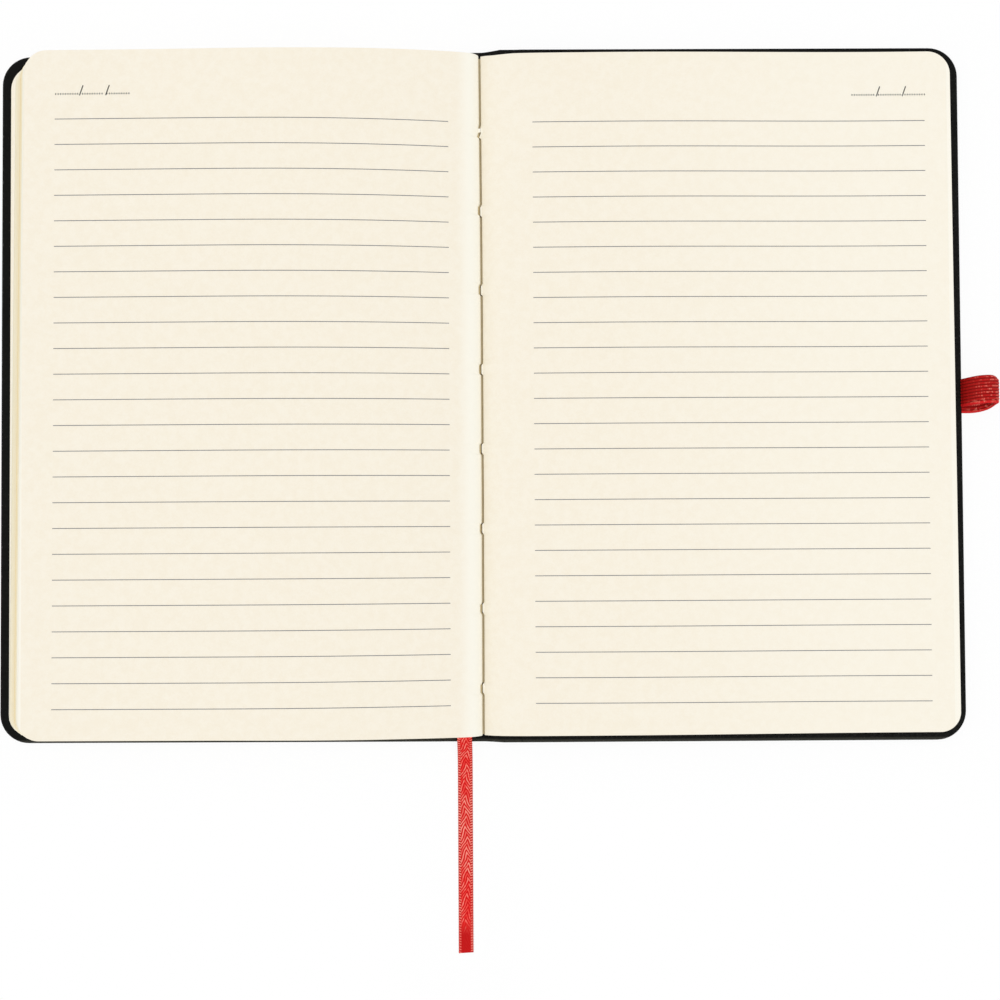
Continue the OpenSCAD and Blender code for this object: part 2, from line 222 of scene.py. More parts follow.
class Bench:
    """Adds and links the nodes of one material or node group."""

    def __init__(self, tree: bpy.types.NodeTree) -> None:
        """Takes the node tree to work on."""
        self.tree = tree

    def add(self, kind: str, **settings: object) -> bpy.types.Node:
        """Adds a node and sets its own options.

        Args:
            kind: Blender's name for the type of node.
            settings: Value of each of the node's options.

        Returns:
            The node.
        """
        made = self.tree.nodes.new(kind)
        for name, value in settings.items():
            setattr(made, name, value)
        return made

    def feed(self, socket: bpy.types.NodeSocket, value: object) -> None:
        """Links a socket's value to an input, or sets the input to a plain value.

        Args:
            socket: The input.
            value: An output socket, or a number, vector or colour.
        """
        if isinstance(value, bpy.types.NodeSocket):
            self.tree.links.new(value, socket)
        else:
            socket.default_value = value

    def math(
        self, operation: str, first: object, second: object = 0.0, clamp: bool = False
    ) -> bpy.types.NodeSocket:
        """Adds a Math node.

        Args:
            operation: Blender's name for the operation.
            first: First value.
            second: Second value, for the operations that take one.
            clamp: Whether the result is held between 0 and 1.

        Returns:
            The result.
        """
        made = self.add("ShaderNodeMath", operation=operation, use_clamp=clamp)
        self.feed(made.inputs[0], first)
        self.feed(made.inputs[1], second)
        return made.outputs[0]

    def times(self, *values: object) -> bpy.types.NodeSocket:
        """Multiplies values, from the first to the last."""
        return reduce(lambda first, second: self.math("MULTIPLY", first, second), values)

    def plus(self, first: object, second: object, clamp: bool = False) -> bpy.types.NodeSocket:
        """Adds two values."""
        return self.math("ADD", first, second, clamp)

    def minus(self, first: object, second: object, clamp: bool = False) -> bpy.types.NodeSocket:
        """Takes the second value from the first."""
        return self.math("SUBTRACT", first, second, clamp)

    def rest_of(self, share: object) -> bpy.types.NodeSocket:
        """What a share leaves of 1."""
        return self.minus(1.0, share)

    def most(self, first: object, second: object) -> bpy.types.NodeSocket:
        """Greater of two values."""
        return self.math("MAXIMUM", first, second)

    def size_of(self, value: object) -> bpy.types.NodeSocket:
        """A value without its sign."""
        return self.math("ABSOLUTE", value)

    def apart(self, first: object, second: object) -> bpy.types.NodeSocket:
        """How far two values lie apart."""
        return self.size_of(self.minus(first, second))

    def swing(self, angle: object) -> bpy.types.NodeSocket:
        """Sine of an angle in radians."""
        return self.math("SINE", angle)

    def ramp(
        self, value: object, low: float, high: float, to_low: float = 0.0, to_high: float = 1.0
    ) -> bpy.types.NodeSocket:
        """Maps a value smoothly from one range to another, held at both ends.

        Args:
            value: The value.
            low: Where the range starts.
            high: Where the range ends.
            to_low: Result up to the start of the range.
            to_high: Result past the end of the range.

        Returns:
            The result.
        """
        made = self.add("ShaderNodeMapRange", interpolation_type="SMOOTHSTEP")
        for socket, number in zip(made.inputs[:5], (value, low, high, to_low, to_high)):
            self.feed(socket, number)
        return made.outputs[0]

    def mix(self, share: object, first: object, second: object) -> bpy.types.NodeSocket:
        """Mixes two colours.

        Args:
            share: Share of the second colour.
            first: First colour.
            second: Second colour.

        Returns:
            The mixed colour.
        """
        made = self.add("ShaderNodeMix", data_type="RGBA")
        self.feed(made.inputs[0], share)
        self.feed(made.inputs[6], first)
        self.feed(made.inputs[7], second)
        return made.outputs[2]

    def noise(
        self, place: object, scale: object, detail: float = 3.0, rough: float = 0.5
    ) -> bpy.types.NodeSocket:
        """Adds a Noise Texture.

        Args:
            place: Its coordinates.
            scale: Its scale, about the number of patches to a metre.
            detail: Layers of finer noise.
            rough: Strength of each finer layer beside the last.

        Returns:
            Its value.
        """
        made = self.add("ShaderNodeTexNoise")
        self.feed(made.inputs["Vector"], place)
        self.feed(made.inputs["Scale"], scale)
        self.feed(made.inputs["Detail"], detail)
        self.feed(made.inputs["Roughness"], rough)
        return made.outputs[0]

    def stretched(self, place: object, scale: Triple) -> bpy.types.NodeSocket:
        """Scales coordinates by a different amount on each axis.

        Args:
            place: The coordinates.
            scale: Scale on X, Y and Z.

        Returns:
            The scaled coordinates.
        """
        made = self.add("ShaderNodeMapping")
        self.feed(made.inputs["Vector"], place)
        self.feed(made.inputs["Scale"], scale)
        return made.outputs[0]

    def object_place(self) -> bpy.types.NodeSocket:
        """Coordinates in the part's own frame."""
        return self.add("ShaderNodeTexCoord").outputs["Object"]

    def sheet_shares(self) -> tuple[bpy.types.NodeSocket, bpy.types.NodeSocket]:
        """Shares of the way across and along the sheet that the piece is made of."""
        x, y, _ = self.split(self.add("ShaderNodeUVMap", uv_map=SHEET_MAP).outputs[0])
        return x, y

    def split(self, place: object) -> tuple[bpy.types.NodeSocket, ...]:
        """Separates a vector into its parts.

        Args:
            place: The vector.

        Returns:
            Its X, Y and Z.
        """
        made = self.add("ShaderNodeSeparateXYZ")
        self.feed(made.inputs[0], place)
        return tuple(made.outputs)

    def group(self, tree: bpy.types.NodeTree, **values: object) -> bpy.types.Node:
        """Places a node group and feeds its named inputs.

        Args:
            tree: The group.
            values: Value of each named input.

        Returns:
            The group's node.
        """
        made = self.add("ShaderNodeGroup", node_tree=tree)
        for name, value in values.items():
            self.feed(made.inputs[name], value)
        return made


def new_group(
    name: str, inputs: dict[str, str], outputs: dict[str, str]
) -> tuple[Bench, bpy.types.Node, bpy.types.Node]:
    """Starts a node group with named sockets.

    Args:
        name: Name of the group.
        inputs: Socket type of each named input.
        outputs: Socket type of each named output.

    Returns:
        Its bench, its input node and its output node.
    """
    tree = bpy.data.node_groups.new(name, "ShaderNodeTree")
    for direction, sockets in (("INPUT", inputs), ("OUTPUT", outputs)):
        for socket, kind in sockets.items():
            tree.interface.new_socket(socket, in_out=direction, socket_type=kind)
    bench = Bench(tree)
    return bench, bench.add("NodeGroupInput"), bench.add("NodeGroupOutput")


@dataclass
class Effects:
    """Effects that several materials share, each built once as a node group.

    A pair named _noise is the detail and the roughness of that noise.
    """

    patch_noise: Pair = (4.0, 0.6)
    fleck_noise: Pair = (2.0, 0.7)
    speck_noise: Pair = (5.0, 0.7)
    patch_share: float = 0.6
    fleck_share: float = 0.4
    tone_range: Span = (0.35, 0.65)
    pebble_range: Span = (0.15, 0.75)
    pebble_softness: float = 0.4
    fine_share: float = 0.35
    thread_range: Span = (-0.4, 0.9)

    def __post_init__(self) -> None:
        """Builds the groups."""
        self.mottle = self._mottle()
        self.grain = self._grain()
        self.weave = self._weave()
        self.specks = self._specks()

    def _mottle(self) -> bpy.types.NodeTree:
        """Uneven tone of paper, board or cloth: broad patches with a finer fleck.

        Returns:
            The group.
        """
        bench, given, out = new_group(
            "mottle",
            {
                "Place": VECTOR,
                "Base": COLOUR,
                "Tint": COLOUR,
                "Patch": FLOAT,
                "Fleck": FLOAT,
                "Amount": FLOAT,
            },
            {"Colour": COLOUR, "Fibre": FLOAT},
        )
        place = given.outputs["Place"]
        patch = bench.noise(place, given.outputs["Patch"], *self.patch_noise)
        fleck = bench.noise(place, given.outputs["Fleck"], *self.fleck_noise)
        tone = bench.plus(bench.times(patch, self.patch_share), bench.times(fleck, self.fleck_share))
        tinted = bench.times(bench.ramp(tone, *self.tone_range), given.outputs["Amount"])
        bench.feed(out.inputs["Colour"], bench.mix(tinted, given.outputs["Base"], given.outputs["Tint"]))
        bench.feed(out.inputs["Fibre"], fleck)
        return bench.tree

    def _grain(self) -> bpy.types.NodeTree:
        """Pebbled grain pressed into leatherette: rounded cells with a fine roughness over them.

        Returns:
            The group.
        """
        bench, given, out = new_group(
            "grain", {"Place": VECTOR, "Cells": FLOAT, "Fine": FLOAT}, {"Height": FLOAT, "Crease": FLOAT}
        )
        place = given.outputs["Place"]
        cells = bench.add("ShaderNodeTexVoronoi", feature="SMOOTH_F1")
        bench.feed(cells.inputs["Vector"], place)
        bench.feed(cells.inputs["Scale"], given.outputs["Cells"])
        bench.feed(cells.inputs["Smoothness"], self.pebble_softness)
        dome = bench.ramp(cells.outputs["Distance"], *self.pebble_range, 1.0, 0.0)
        fine = bench.noise(place, given.outputs["Fine"], 2.0)
        bench.feed(out.inputs["Height"], bench.plus(dome, bench.times(fine, self.fine_share)))
        bench.feed(out.inputs["Crease"], bench.rest_of(dome))
        return bench.tree

    def _weave(self) -> bpy.types.NodeTree:
        """Plain threads that cross: a height that swings along both directions, out of step row by row.

        Returns:
            The group.
        """
        bench, given, out = new_group(
            "weave",
            {"U": FLOAT, "V": FLOAT, "Pitch": FLOAT, "Slant": FLOAT},
            {"Height": FLOAT, "Thread": FLOAT},
        )
        turn = bench.math("DIVIDE", 2 * math.pi, given.outputs["Pitch"])
        row = bench.swing(bench.times(given.outputs["V"], turn))
        slanted = bench.plus(given.outputs["U"], bench.times(given.outputs["V"], given.outputs["Slant"]))
        column = bench.swing(bench.times(slanted, turn))
        bench.feed(out.inputs["Height"], bench.plus(bench.times(row, column, 0.5), 0.5))
        bench.feed(out.inputs["Thread"], bench.ramp(column, *self.thread_range))
        return bench.tree

    def _specks(self) -> bpy.types.NodeTree:
        """Scattered small specks inside a masked area, such as scuffs along an edge.

        Returns:
            The group.
        """
        bench, given, out = new_group(
            "specks", {"Place": VECTOR, "Scale": FLOAT, "Mask": FLOAT, "Rarity": FLOAT}, {"Speck": FLOAT}
        )
        spots = bench.noise(given.outputs["Place"], given.outputs["Scale"], *self.speck_noise)
        high = bench.math("GREATER_THAN", spots, given.outputs["Rarity"])
        bench.feed(out.inputs["Speck"], bench.math("MULTIPLY", high, given.outputs["Mask"], clamp=True))
        return bench.tree


def new_material(name: str) -> tuple[bpy.types.Material, Bench, bpy.types.Node]:
    """Starts a node material.

    Args:
        name: Name of the material.

    Returns:
        The material, its bench and its Principled BSDF.
    """
    material = bpy.data.materials.new(name)
    material.use_nodes = True
    bench = Bench(material.node_tree)
    shader = next(n for n in material.node_tree.nodes if n.type == "BSDF_PRINCIPLED")
    return material, bench, shader


@dataclass(frozen=True)
class Surface:
    """How a finish catches the light: its roughness, its gloss and the depth of its relief."""

    roughness: float
    gloss: float
    depth: float
    relief: float

    def apply(self, bench: Bench, shader: bpy.types.Node, height: object) -> None:
        """Sets the shader's own values and feeds a height into its normal.

        Args:
            bench: The material's bench.
            shader: Its Principled BSDF.
            height: The relief, from 0 to 1, where 1 stands for the depth.
        """
        shader.inputs["Roughness"].default_value = self.roughness
        shader.inputs["Specular IOR Level"].default_value = self.gloss
        bump = bench.add("ShaderNodeBump")
        bench.feed(bump.inputs["Height"], height)
        bench.feed(bump.inputs["Distance"], self.depth)
        bench.feed(bump.inputs["Strength"], self.relief)
        bench.feed(shader.inputs["Normal"], bump.outputs[0])


@dataclass(frozen=True)
class PaperFinish:
    """Uncoated cream paper, seen flat or as the cut edges of many sheets, with painted light and shade on
    both.
    """

    name: str
    base: Rgb = (251, 244, 228)
    tint: Rgb = (246, 236, 215)
    # pale is the colour of painted highlights, on an open page and at the ends of cut edges.
    pale: Rgb = (255, 252, 240)
    amount: float = 0.5
    patch: float = 420.0
    fleck: float = 1900.0
    flat: Surface = Surface(0.85, 0.25, 0.00001, 0.6)
    # open_page turns on painted highlights beside the fold, far out and along both rims.
    open_page: bool = False
    fold_left: Span = (-0.0075, -0.0018)
    fold_right: Span = (-0.0001, 0.0006)
    outer_part: Span = (0.03, 0.13)
    outer_share: float = 0.3
    rims: Pair = (0.1386, 0.1446)
    rim_width: float = 0.0004
    rim_share: float = 0.75
    # cut_edges turns on painted shade in a band and between the sheets, with painted highlights at the
    # ends.
    cut_edges: bool = False
    cut: Surface = Surface(0.85, 0.25, 0.00006, 0.6)
    sheet_pitch: float = 0.0001
    streak: float = 30.0
    line_range: Span = (0.3, 0.6)
    line_share: float = 0.4
    # The next two colours are painted shade on the cut edges: between the sheets and in a band at mid
    # height.
    between: Rgb = (236, 212, 158)
    band_shade: Rgb = (242, 218, 158)
    band_share: float = 0.8
    levels: tuple[float, float, float, float] = (0.0035, 0.0058, 0.0128, 0.0156)
    foot_fade: float = 0.0008
    top_gap: float = 0.0012
    end_share: float = 0.95

    def build(self, effects: Effects) -> bpy.types.Material:
        """Builds the material.

        Args:
            effects: The shared node groups.

        Returns:
            The material.
        """
        material, bench, shader = new_material(self.name)
        place = bench.object_place()
        mottled = bench.group(
            effects.mottle,
            Place=place,
            Base=linear(self.base),
            Tint=linear(self.tint),
            Patch=self.patch,
            Fleck=self.fleck,
            Amount=self.amount,
        )
        colour, height, surface = mottled.outputs["Colour"], mottled.outputs["Fibre"], self.flat
        x, _, z = bench.split(place)
        # Painted highlights on an open page.
        if self.open_page:
            colour = bench.mix(self._painted_page_light(bench, x), colour, linear(self.pale))
        # Painted shade and painted highlights on the cut edges.
        if self.cut_edges:
            across_sheets = bench.stretched(place, (self.streak, self.streak, 1 / self.sheet_pitch))
            height, surface = bench.noise(across_sheets, 1.0, 2.0), self.cut
            colour = self._painted_cut_edge_light(bench, colour, height, z)
        bench.feed(shader.inputs["Base Color"], colour)
        surface.apply(bench, shader, height)
        return material

    def _painted_page_light(self, bench: Bench, x: object) -> bpy.types.NodeSocket:
        """Masks the painted highlights of an open page: paler beside the fold, far out and along both rims.

        Args:
            bench: The material's bench.
            x: Place across the book.

        Returns:
            The mask.
        """
        left_rim, right_rim = self.rims
        near = bench.times(bench.ramp(x, *self.fold_left), bench.ramp(x, *self.fold_right, 1.0, 0.0))
        far = bench.ramp(x, *self.outer_part, 0.0, self.outer_share)
        right = bench.ramp(x, right_rim, right_rim + self.rim_width, 0.0, self.rim_share)
        left = bench.ramp(bench.times(x, -1.0), left_rim - self.rim_width, left_rim, 0.0, self.rim_share)
        return bench.most(bench.most(near, far), bench.plus(right, left))

    def _painted_cut_edge_light(self, bench: Bench, colour: object, lines: object, z: object) -> bpy.types.NodeSocket:
        """Paints shade and light on the cut edges: painted shade in a warm mid band and between sheets,
        painted highlights at the ends.

        Args:
            bench: The material's bench.
            colour: Colour of the paper.
            lines: Streaks that follow the sheets.
            z: Height over the table.

        Returns:
            The toned colour.
        """
        foot, low, high, top = self.levels
        band = bench.times(bench.ramp(z, low, high), bench.ramp(z, high, top, 1.0, 0.0))
        colour = bench.mix(bench.times(band, self.band_share), colour, linear(self.band_shade))
        dark = bench.rest_of(bench.ramp(lines, *self.line_range))
        colour = bench.mix(bench.times(dark, self.line_share), colour, linear(self.between))
        lower_end = bench.ramp(z, foot, foot + self.foot_fade, 1.0, 0.0)
        ends = bench.most(lower_end, bench.ramp(z, high + self.top_gap, top))
        return bench.mix(bench.times(ends, self.end_share), colour, linear(self.pale))


@dataclass(frozen=True)
class LeatheretteFinish:
    """Black coated cloth with a pressed grain, scuffed a little along the edges of the case, with a painted
    highlight along its tail edge.
    """

    name: str = "black_leatherette"
    base: Rgb = (7, 7, 6)
    tint: Rgb = (13, 14, 12)
    patch: float = 60.0
    fleck: float = 900.0
    amount: float = 0.8
    cells: float = 1150.0
    fine: float = 5200.0
    surface: Surface = Surface(0.42, 0.07, 0.00008, 0.8)
    crease_roughness: float = 0.62
    edge_x: float = 0.1489
    edge_y: float = 0.1070
    edge_fade: float = 0.0005
    # The next three values paint a highlight along the tail edge.
    tail_highlight: Rgb = (56, 56, 50)
    tail_fade: float = 0.0008
    tail_highlight_share: float = 0.75
    worn: Rgb = (96, 97, 98)
    speck_scale: float = 420.0
    speck_rarity: float = 0.62
    speck_share: float = 0.55

    def build(self, effects: Effects) -> bpy.types.Material:
        """Builds the material.

        Args:
            effects: The shared node groups.

        Returns:
            The material.
        """
        material, bench, shader = new_material(self.name)
        place = bench.object_place()
        x, y, _ = bench.split(place)
        grain = bench.group(effects.grain, Place=place, Cells=self.cells, Fine=self.fine)
        rim = bench.most(
            bench.ramp(bench.size_of(x), self.edge_x, self.edge_x + self.edge_fade),
            bench.ramp(bench.size_of(y), self.edge_y, self.edge_y + self.edge_fade),
        )
        scuffs = bench.group(
            effects.specks, Place=place, Scale=self.speck_scale, Mask=rim, Rarity=self.speck_rarity
        ).outputs["Speck"]
        toned = bench.group(
            effects.mottle,
            Place=place,
            Base=linear(self.base),
            Tint=linear(self.tint),
            Patch=self.patch,
            Fleck=self.fleck,
            Amount=self.amount,
        ).outputs["Colour"]
        # Painted highlight: lighter along the tail edge.
        tail = bench.ramp(y, -self.edge_y, self.tail_fade - self.edge_y, self.tail_highlight_share, 0.0)
        toned = bench.mix(tail, toned, linear(self.tail_highlight))
        toned = bench.mix(bench.times(scuffs, self.speck_share), toned, linear(self.worn))
        bench.feed(shader.inputs["Base Color"], toned)
        self.surface.apply(bench, shader, grain.outputs["Height"])
        crease = grain.outputs["Crease"]
        rough = bench.ramp(crease, 0.0, 1.0, self.surface.roughness, self.crease_roughness)
        bench.feed(shader.inputs["Roughness"], rough)
        return material


@dataclass(frozen=True)
class SatinFinish:
    """Red twill ribbon: slanted threads with looped selvedges, and painted highlights, sheen and shade on
    them.

    Lengths are in metres on the ribbon. The shares named run_ are shares of the way along it.
    """

    name: str = "red_satin"
    base: Rgb = (255, 46, 40)
    deep: Rgb = (210, 6, 8)
    # light is painted highlight on the raised threads; deep and rim are painted shade.
    light: Rgb = (255, 172, 154)
    end: Rgb = (196, 10, 10)
    rim: Rgb = (136, 6, 12)
    surface: Surface = Surface(0.5, 0.12, 0.00006, 0.6)
    width: float = 0.0046
    length: float = 0.06883
    pitch: float = 0.0008
    thread_slope: float = 0.5
    loop_slope: float = 0.35
    loop_shift: float = 0.2
    ridge_offset: float = -0.0003
    ridge_waves: tuple[Triple, ...] = ((-0.0004, 0.045, math.pi / 2), (0.0003, 0.0071, 0.0))
    wander: float = 0.0006
    wander_scale: float = 800.0
    float_run: float = 0.0009
    float_step: float = 0.37
    float_phase: float = 0.25
    float_range: Ramp = (0.15, 0.65, 0.15, 1.0)
    selvedge: float = 0.31
    selvedge_fade: float = 0.0001
    seam_width: float = 0.00016
    edge_shade: Span = (0.465, 0.495)
    # The next two values place a painted sheen in the middle of the run.
    run_painted_sheen: float = 0.46
    painted_sheen_range: Ramp = (0.08, 0.24, 0.44, 0.0)
    run_end: Span = (0.83, 0.925)
    patch_scale: float = 1500.0
    patch_range: Ramp = (0.40, 0.54, 0.35, 0.9)
    sheen_scale: float = 90.0
    sheen_range: Ramp = (0.35, 0.6, 0.7, 1.0)
    loop_light: float = 0.8
    thread_cover: float = 0.6
    float_cover: float = 0.4
    seam_share: float = 0.8
    painted_sheen_share: float = 0.8
    gap_share: float = 0.45
    outline_share: float = 0.7
    light_share: float = 0.76
    outline_loss: float = 0.5

    def build(self, effects: Effects) -> bpy.types.Material:
        """Builds the material.

        Args:
            effects: The shared node groups.

        Returns:
            The material.
        """
        material, bench, shader = new_material(self.name)
        share_across, run = bench.sheet_shares()
        place = bench.object_place()
        across = bench.times(bench.minus(share_across, 0.5), self.width)
        even = bench.times(run, self.length)
        uneven_step = bench.minus(bench.noise(place, self.wander_scale, 1.0), 0.5)
        along = bench.plus(even, bench.times(uneven_step, self.wander))
        off_centre = bench.size_of(across)
        off_ridge = bench.size_of(self._from_ridge(bench, across, run))
        twill = bench.group(effects.weave, U=off_ridge, V=along, Pitch=self.pitch, Slant=-self.thread_slope)
        side = bench.times(bench.math("SIGN", across), self.pitch * self.loop_shift)
        loops = bench.group(
            effects.weave, U=bench.plus(even, side), V=off_centre, Pitch=self.pitch, Slant=self.loop_slope
        )
        start = self.width * self.selvedge
        selvedge = bench.ramp(off_centre, start, start + self.selvedge_fade)
        dots = bench.times(loops.outputs["Thread"], selvedge)
        inner = bench.times(twill.outputs["Thread"], bench.rest_of(selvedge))
        threads = bench.plus(inner, dots)
        floats = self._floats(bench, across, off_ridge, along)
        raised = bench.plus(bench.times(inner, floats), dots)
        # Painted sheen: the middle of the run is lighter, and its highlights there are stronger.
        middle = bench.ramp(bench.apart(run, self.run_painted_sheen), *self.painted_sheen_range)
        lying = bench.most(bench.ramp(run, *self.run_end, 1.0, 0.0), selvedge)
        edge_shade = bench.ramp(off_centre, *(self.width * share for share in self.edge_shade))

        # Painted shade in the hollows between threads, along the selvedge seams, between the selvedge loops
        # and along both edges.
        seam = bench.ramp(bench.apart(off_centre, start), 0.0, self.seam_width, 1.0, 0.0)
        filled = bench.plus(bench.times(threads, self.thread_cover), bench.times(raised, self.float_cover))
        hollow_shade = bench.most(bench.times(seam, self.seam_share), bench.rest_of(filled))
        loop_gap_shade = bench.minus(selvedge, dots, clamp=True)
        ground = bench.mix(bench.times(middle, self.painted_sheen_share), linear(self.base), linear(self.light))
        ground = bench.mix(bench.times(hollow_shade, lying), ground, linear(self.deep))
        ground = bench.mix(bench.rest_of(lying), ground, linear(self.end))
        ground = bench.mix(bench.times(loop_gap_shade, self.gap_share), ground, linear(self.rim))
        ground = bench.mix(bench.times(edge_shade, self.outline_share), ground, linear(self.rim))

        # Painted highlights on the raised threads: patchy, gone at the cut end and weaker along the edges.
        patches = bench.ramp(bench.noise(place, self.patch_scale, 2.0), *self.patch_range)
        uneven = bench.plus(patches, middle, clamp=True)
        uneven = bench.most(uneven, bench.times(selvedge, self.loop_light))
        sheen = bench.times(lying, bench.ramp(bench.noise(place, self.sheen_scale, 1.0), *self.sheen_range))
        strength = bench.minus(self.light_share, bench.times(edge_shade, self.outline_loss))
        lit = bench.times(raised, uneven, sheen, strength)
        bench.feed(shader.inputs["Base Color"], bench.mix(lit, ground, linear(self.light)))
        self.surface.apply(bench, shader, threads)
        return material

    def _from_ridge(self, bench: Bench, across: object, run: object) -> bpy.types.NodeSocket:
        """Distance from the wandering line where the threads meet in chevrons.

        Args:
            bench: The material's bench.
            across: Distance from the ribbon's middle.
            run: Share of the way along it.

        Returns:
            The distance, with its sign.
        """
        distance = bench.plus(across, self.ridge_offset)
        for size, wavelength, phase in self.ridge_waves:
            angle = bench.plus(bench.times(run, 2 * math.pi * self.length / wavelength), phase)
            distance = bench.plus(distance, bench.times(bench.swing(angle), size))
        return distance

    def _floats(
        self, bench: Bench, across: object, off_ridge: object, along: object
    ) -> bpy.types.NodeSocket:
        """Breaks the slanted threads into short floats, each of its own brightness.

        Args:
            bench: The material's bench.
            across: Distance from the ribbon's middle.
            off_ridge: Distance from the line of the chevrons.
            along: Distance along the ribbon.

        Returns:
            The brightness.
        """
        slanted = bench.minus(off_ridge, bench.times(along, self.thread_slope))
        row = bench.math("FLOOR", bench.plus(bench.math("DIVIDE", slanted, self.pitch), self.float_phase))
        runs_across = bench.math("DIVIDE", across, self.float_run)
        shifted = bench.plus(runs_across, bench.times(row, self.float_step))
        cell = bench.add("ShaderNodeCombineXYZ")
        bench.feed(cell.inputs[0], row)
        bench.feed(cell.inputs[1], bench.math("FLOOR", shifted))
        drawn = bench.add("ShaderNodeTexWhiteNoise", noise_dimensions="2D")
        bench.feed(drawn.inputs["Vector"], cell.outputs[0])
        return bench.ramp(drawn.outputs["Value"], *self.float_range)


@dataclass(frozen=True)
class ElasticFinish:
    """Red ribbed elastic: painted highlights on the stitches over the ribs, painted shade between them.

    The band's run is folded in half, so its middle is the tip of the loop.
    """

    name: str = "red_elastic"
    base: Rgb = (184, 20, 18)
    deep: Rgb = (130, 12, 10)
    # light and rim are painted highlights; deep is painted shade.
    light: Rgb = (255, 146, 128)
    rim: Rgb = (222, 30, 34)
    surface: Surface = Surface(0.65, 0.12, 0.00008, 0.7)
    ribs: int = 9
    stitches: int = 62
    crown_range: Span = (0.6, 0.95)
    stitch_range: Span = (0.35, 0.85)
    rib_range: Span = (0.1, 0.75)
    patch_scale: float = 900.0
    patch_range: Span = (0.45, 0.62)
    lit_run: Span = (0.13, 0.24)
    low_rib: float = 0.11
    low_range: Ramp = (0.02, 0.07, 0.6, 0.0)
    low_run: Span = (0.1, 0.2)
    unlit_share: float = 0.25
    lit_edge_range: Ramp = (0.05, 0.12, 0.8, 0.0)
    light_share: float = 0.75

    def build(self, effects: Effects) -> bpy.types.Material:
        """Builds the material.

        Args:
            effects: The shared node groups, which this finish does without.

        Returns:
            The material.
        """
        material, bench, shader = new_material(self.name)
        across, along = bench.sheet_shares()
        crown = bench.size_of(bench.swing(bench.times(across, self.ribs, math.pi)))
        stitch = bench.size_of(bench.swing(bench.times(along, self.stitches * math.pi)))
        run = bench.minus(0.5, bench.apart(along, 0.5))
        # The loop is painted as lit further out from the cover and as shaded near it.
        lit = bench.ramp(run, *self.lit_run)
        # Painted sheen along a low rib, and painted highlights on the stitches' crowns further out.
        low = bench.times(
            bench.ramp(bench.apart(across, self.low_rib), *self.low_range), bench.ramp(run, *self.low_run)
        )
        spot = bench.times(
            bench.ramp(crown, *self.crown_range), bench.ramp(stitch, *self.stitch_range), lit
        )
        patches = bench.ramp(bench.noise(bench.object_place(), self.patch_scale, 2.0), *self.patch_range)
        shown = bench.times(bench.most(spot, low), patches, self.light_share)
        # Painted shade between the ribs and, near the cover, on the part taken as unlit.
        ground = bench.mix(bench.ramp(crown, *self.rib_range), linear(self.deep), linear(self.base))
        unlit = bench.times(bench.rest_of(lit), self.unlit_share)
        ground = bench.mix(unlit, ground, linear(self.deep))
        # Painted highlight along the band's lower edge.
        ground = bench.mix(bench.ramp(across, *self.lit_edge_range), ground, linear(self.rim))
        bench.feed(shader.inputs["Base Color"], bench.mix(shown, ground, linear(self.light)))
        self.surface.apply(bench, shader, bench.times(crown, stitch))
        return material


@dataclass(frozen=True)
class PlainFinish:
    """Grey board, lining cloth, dried glue or printing ink: an uneven tone with its own roughness."""

    name: str
    base: Rgb
    tint: Rgb
    surface: Surface
    patch: float = 90.0
    fleck: float = 1800.0
    amount: float = 0.8
    woven: bool = False
    thread_pitch: float = 0.0009

    def build(self, effects: Effects) -> bpy.types.Material:
        """Builds the material.

        Args:
            effects: The shared node groups.

        Returns:
            The material.
        """
        material, bench, shader = new_material(self.name)
        place = bench.object_place()
        mottled = bench.group(
            effects.mottle,
            Place=place,
            Base=linear(self.base),
            Tint=linear(self.tint),
            Patch=self.patch,
            Fleck=self.fleck,
            Amount=self.amount,
        )
        height = mottled.outputs["Fibre"]
        if self.woven:
            x, y, _ = bench.split(place)
            threads = bench.group(effects.weave, U=x, V=y, Pitch=self.thread_pitch, Slant=0.0)
            height = threads.outputs["Height"]
        bench.feed(shader.inputs["Base Color"], mottled.outputs["Colour"])
        self.surface.apply(bench, shader, height)
        return material


class Palette:
    """Every material of the notebook, built once."""

    def __init__(self) -> None:
        """Builds the materials."""
        effects = Effects()
        # The page carries painted highlights, and its cut edges carry painted shade and painted highlights.
        self.page = PaperFinish("cream_page", open_page=True).build(effects)
        self.page_edges = PaperFinish(
            "cut_page_edges_painted_shade", base=(255, 246, 214), tint=(255, 240, 202), cut_edges=True
        ).build(effects)
        self.fold = PaperFinish("fold_shade", base=(200, 186, 155), tint=(184, 170, 138)).build(effects)
        self.shade = PaperFinish("slit_shade", base=(92, 74, 60), tint=(80, 64, 52)).build(effects)
        self.cut = PaperFinish("cut_slit_edge", base=(255, 251, 240), tint=(252, 246, 230)).build(effects)
        self.endpaper = PaperFinish("endpaper", base=(254, 248, 234), tint=(250, 242, 224)).build(effects)
        self.leatherette = LeatheretteFinish().build(effects)
        self.ribbon = SatinFinish().build(effects)
        self.elastic = ElasticFinish().build(effects)
        dull = Surface(0.9, 0.3, 0.00003, 0.7)
        glossy = Surface(0.4, 0.3, 0.00002, 0.7)
        printed = Surface(0.8, 0.3, 0.000005, 0.7)
        self.board = PlainFinish("grey_board", (142, 136, 126), (118, 112, 103), dull).build(effects)
        self.cloth = PlainFinish(
            "lining_cloth", (226, 219, 200), (208, 199, 176), dull, woven=True
        ).build(effects)
        self.glue = PlainFinish("dried_glue", (206, 188, 148), (186, 166, 124), glossy).build(effects)
        self.dark_ink = PlainFinish(
            "date_ink", (14, 14, 18), (24, 24, 28), printed, patch=700.0, fleck=4000.0
        ).build(effects)
        self.ink = PlainFinish(
            "ruling_ink", (100, 103, 112), (120, 122, 128), printed, patch=700.0, fleck=4000.0
        ).build(effects)


# The camera, the light and the table


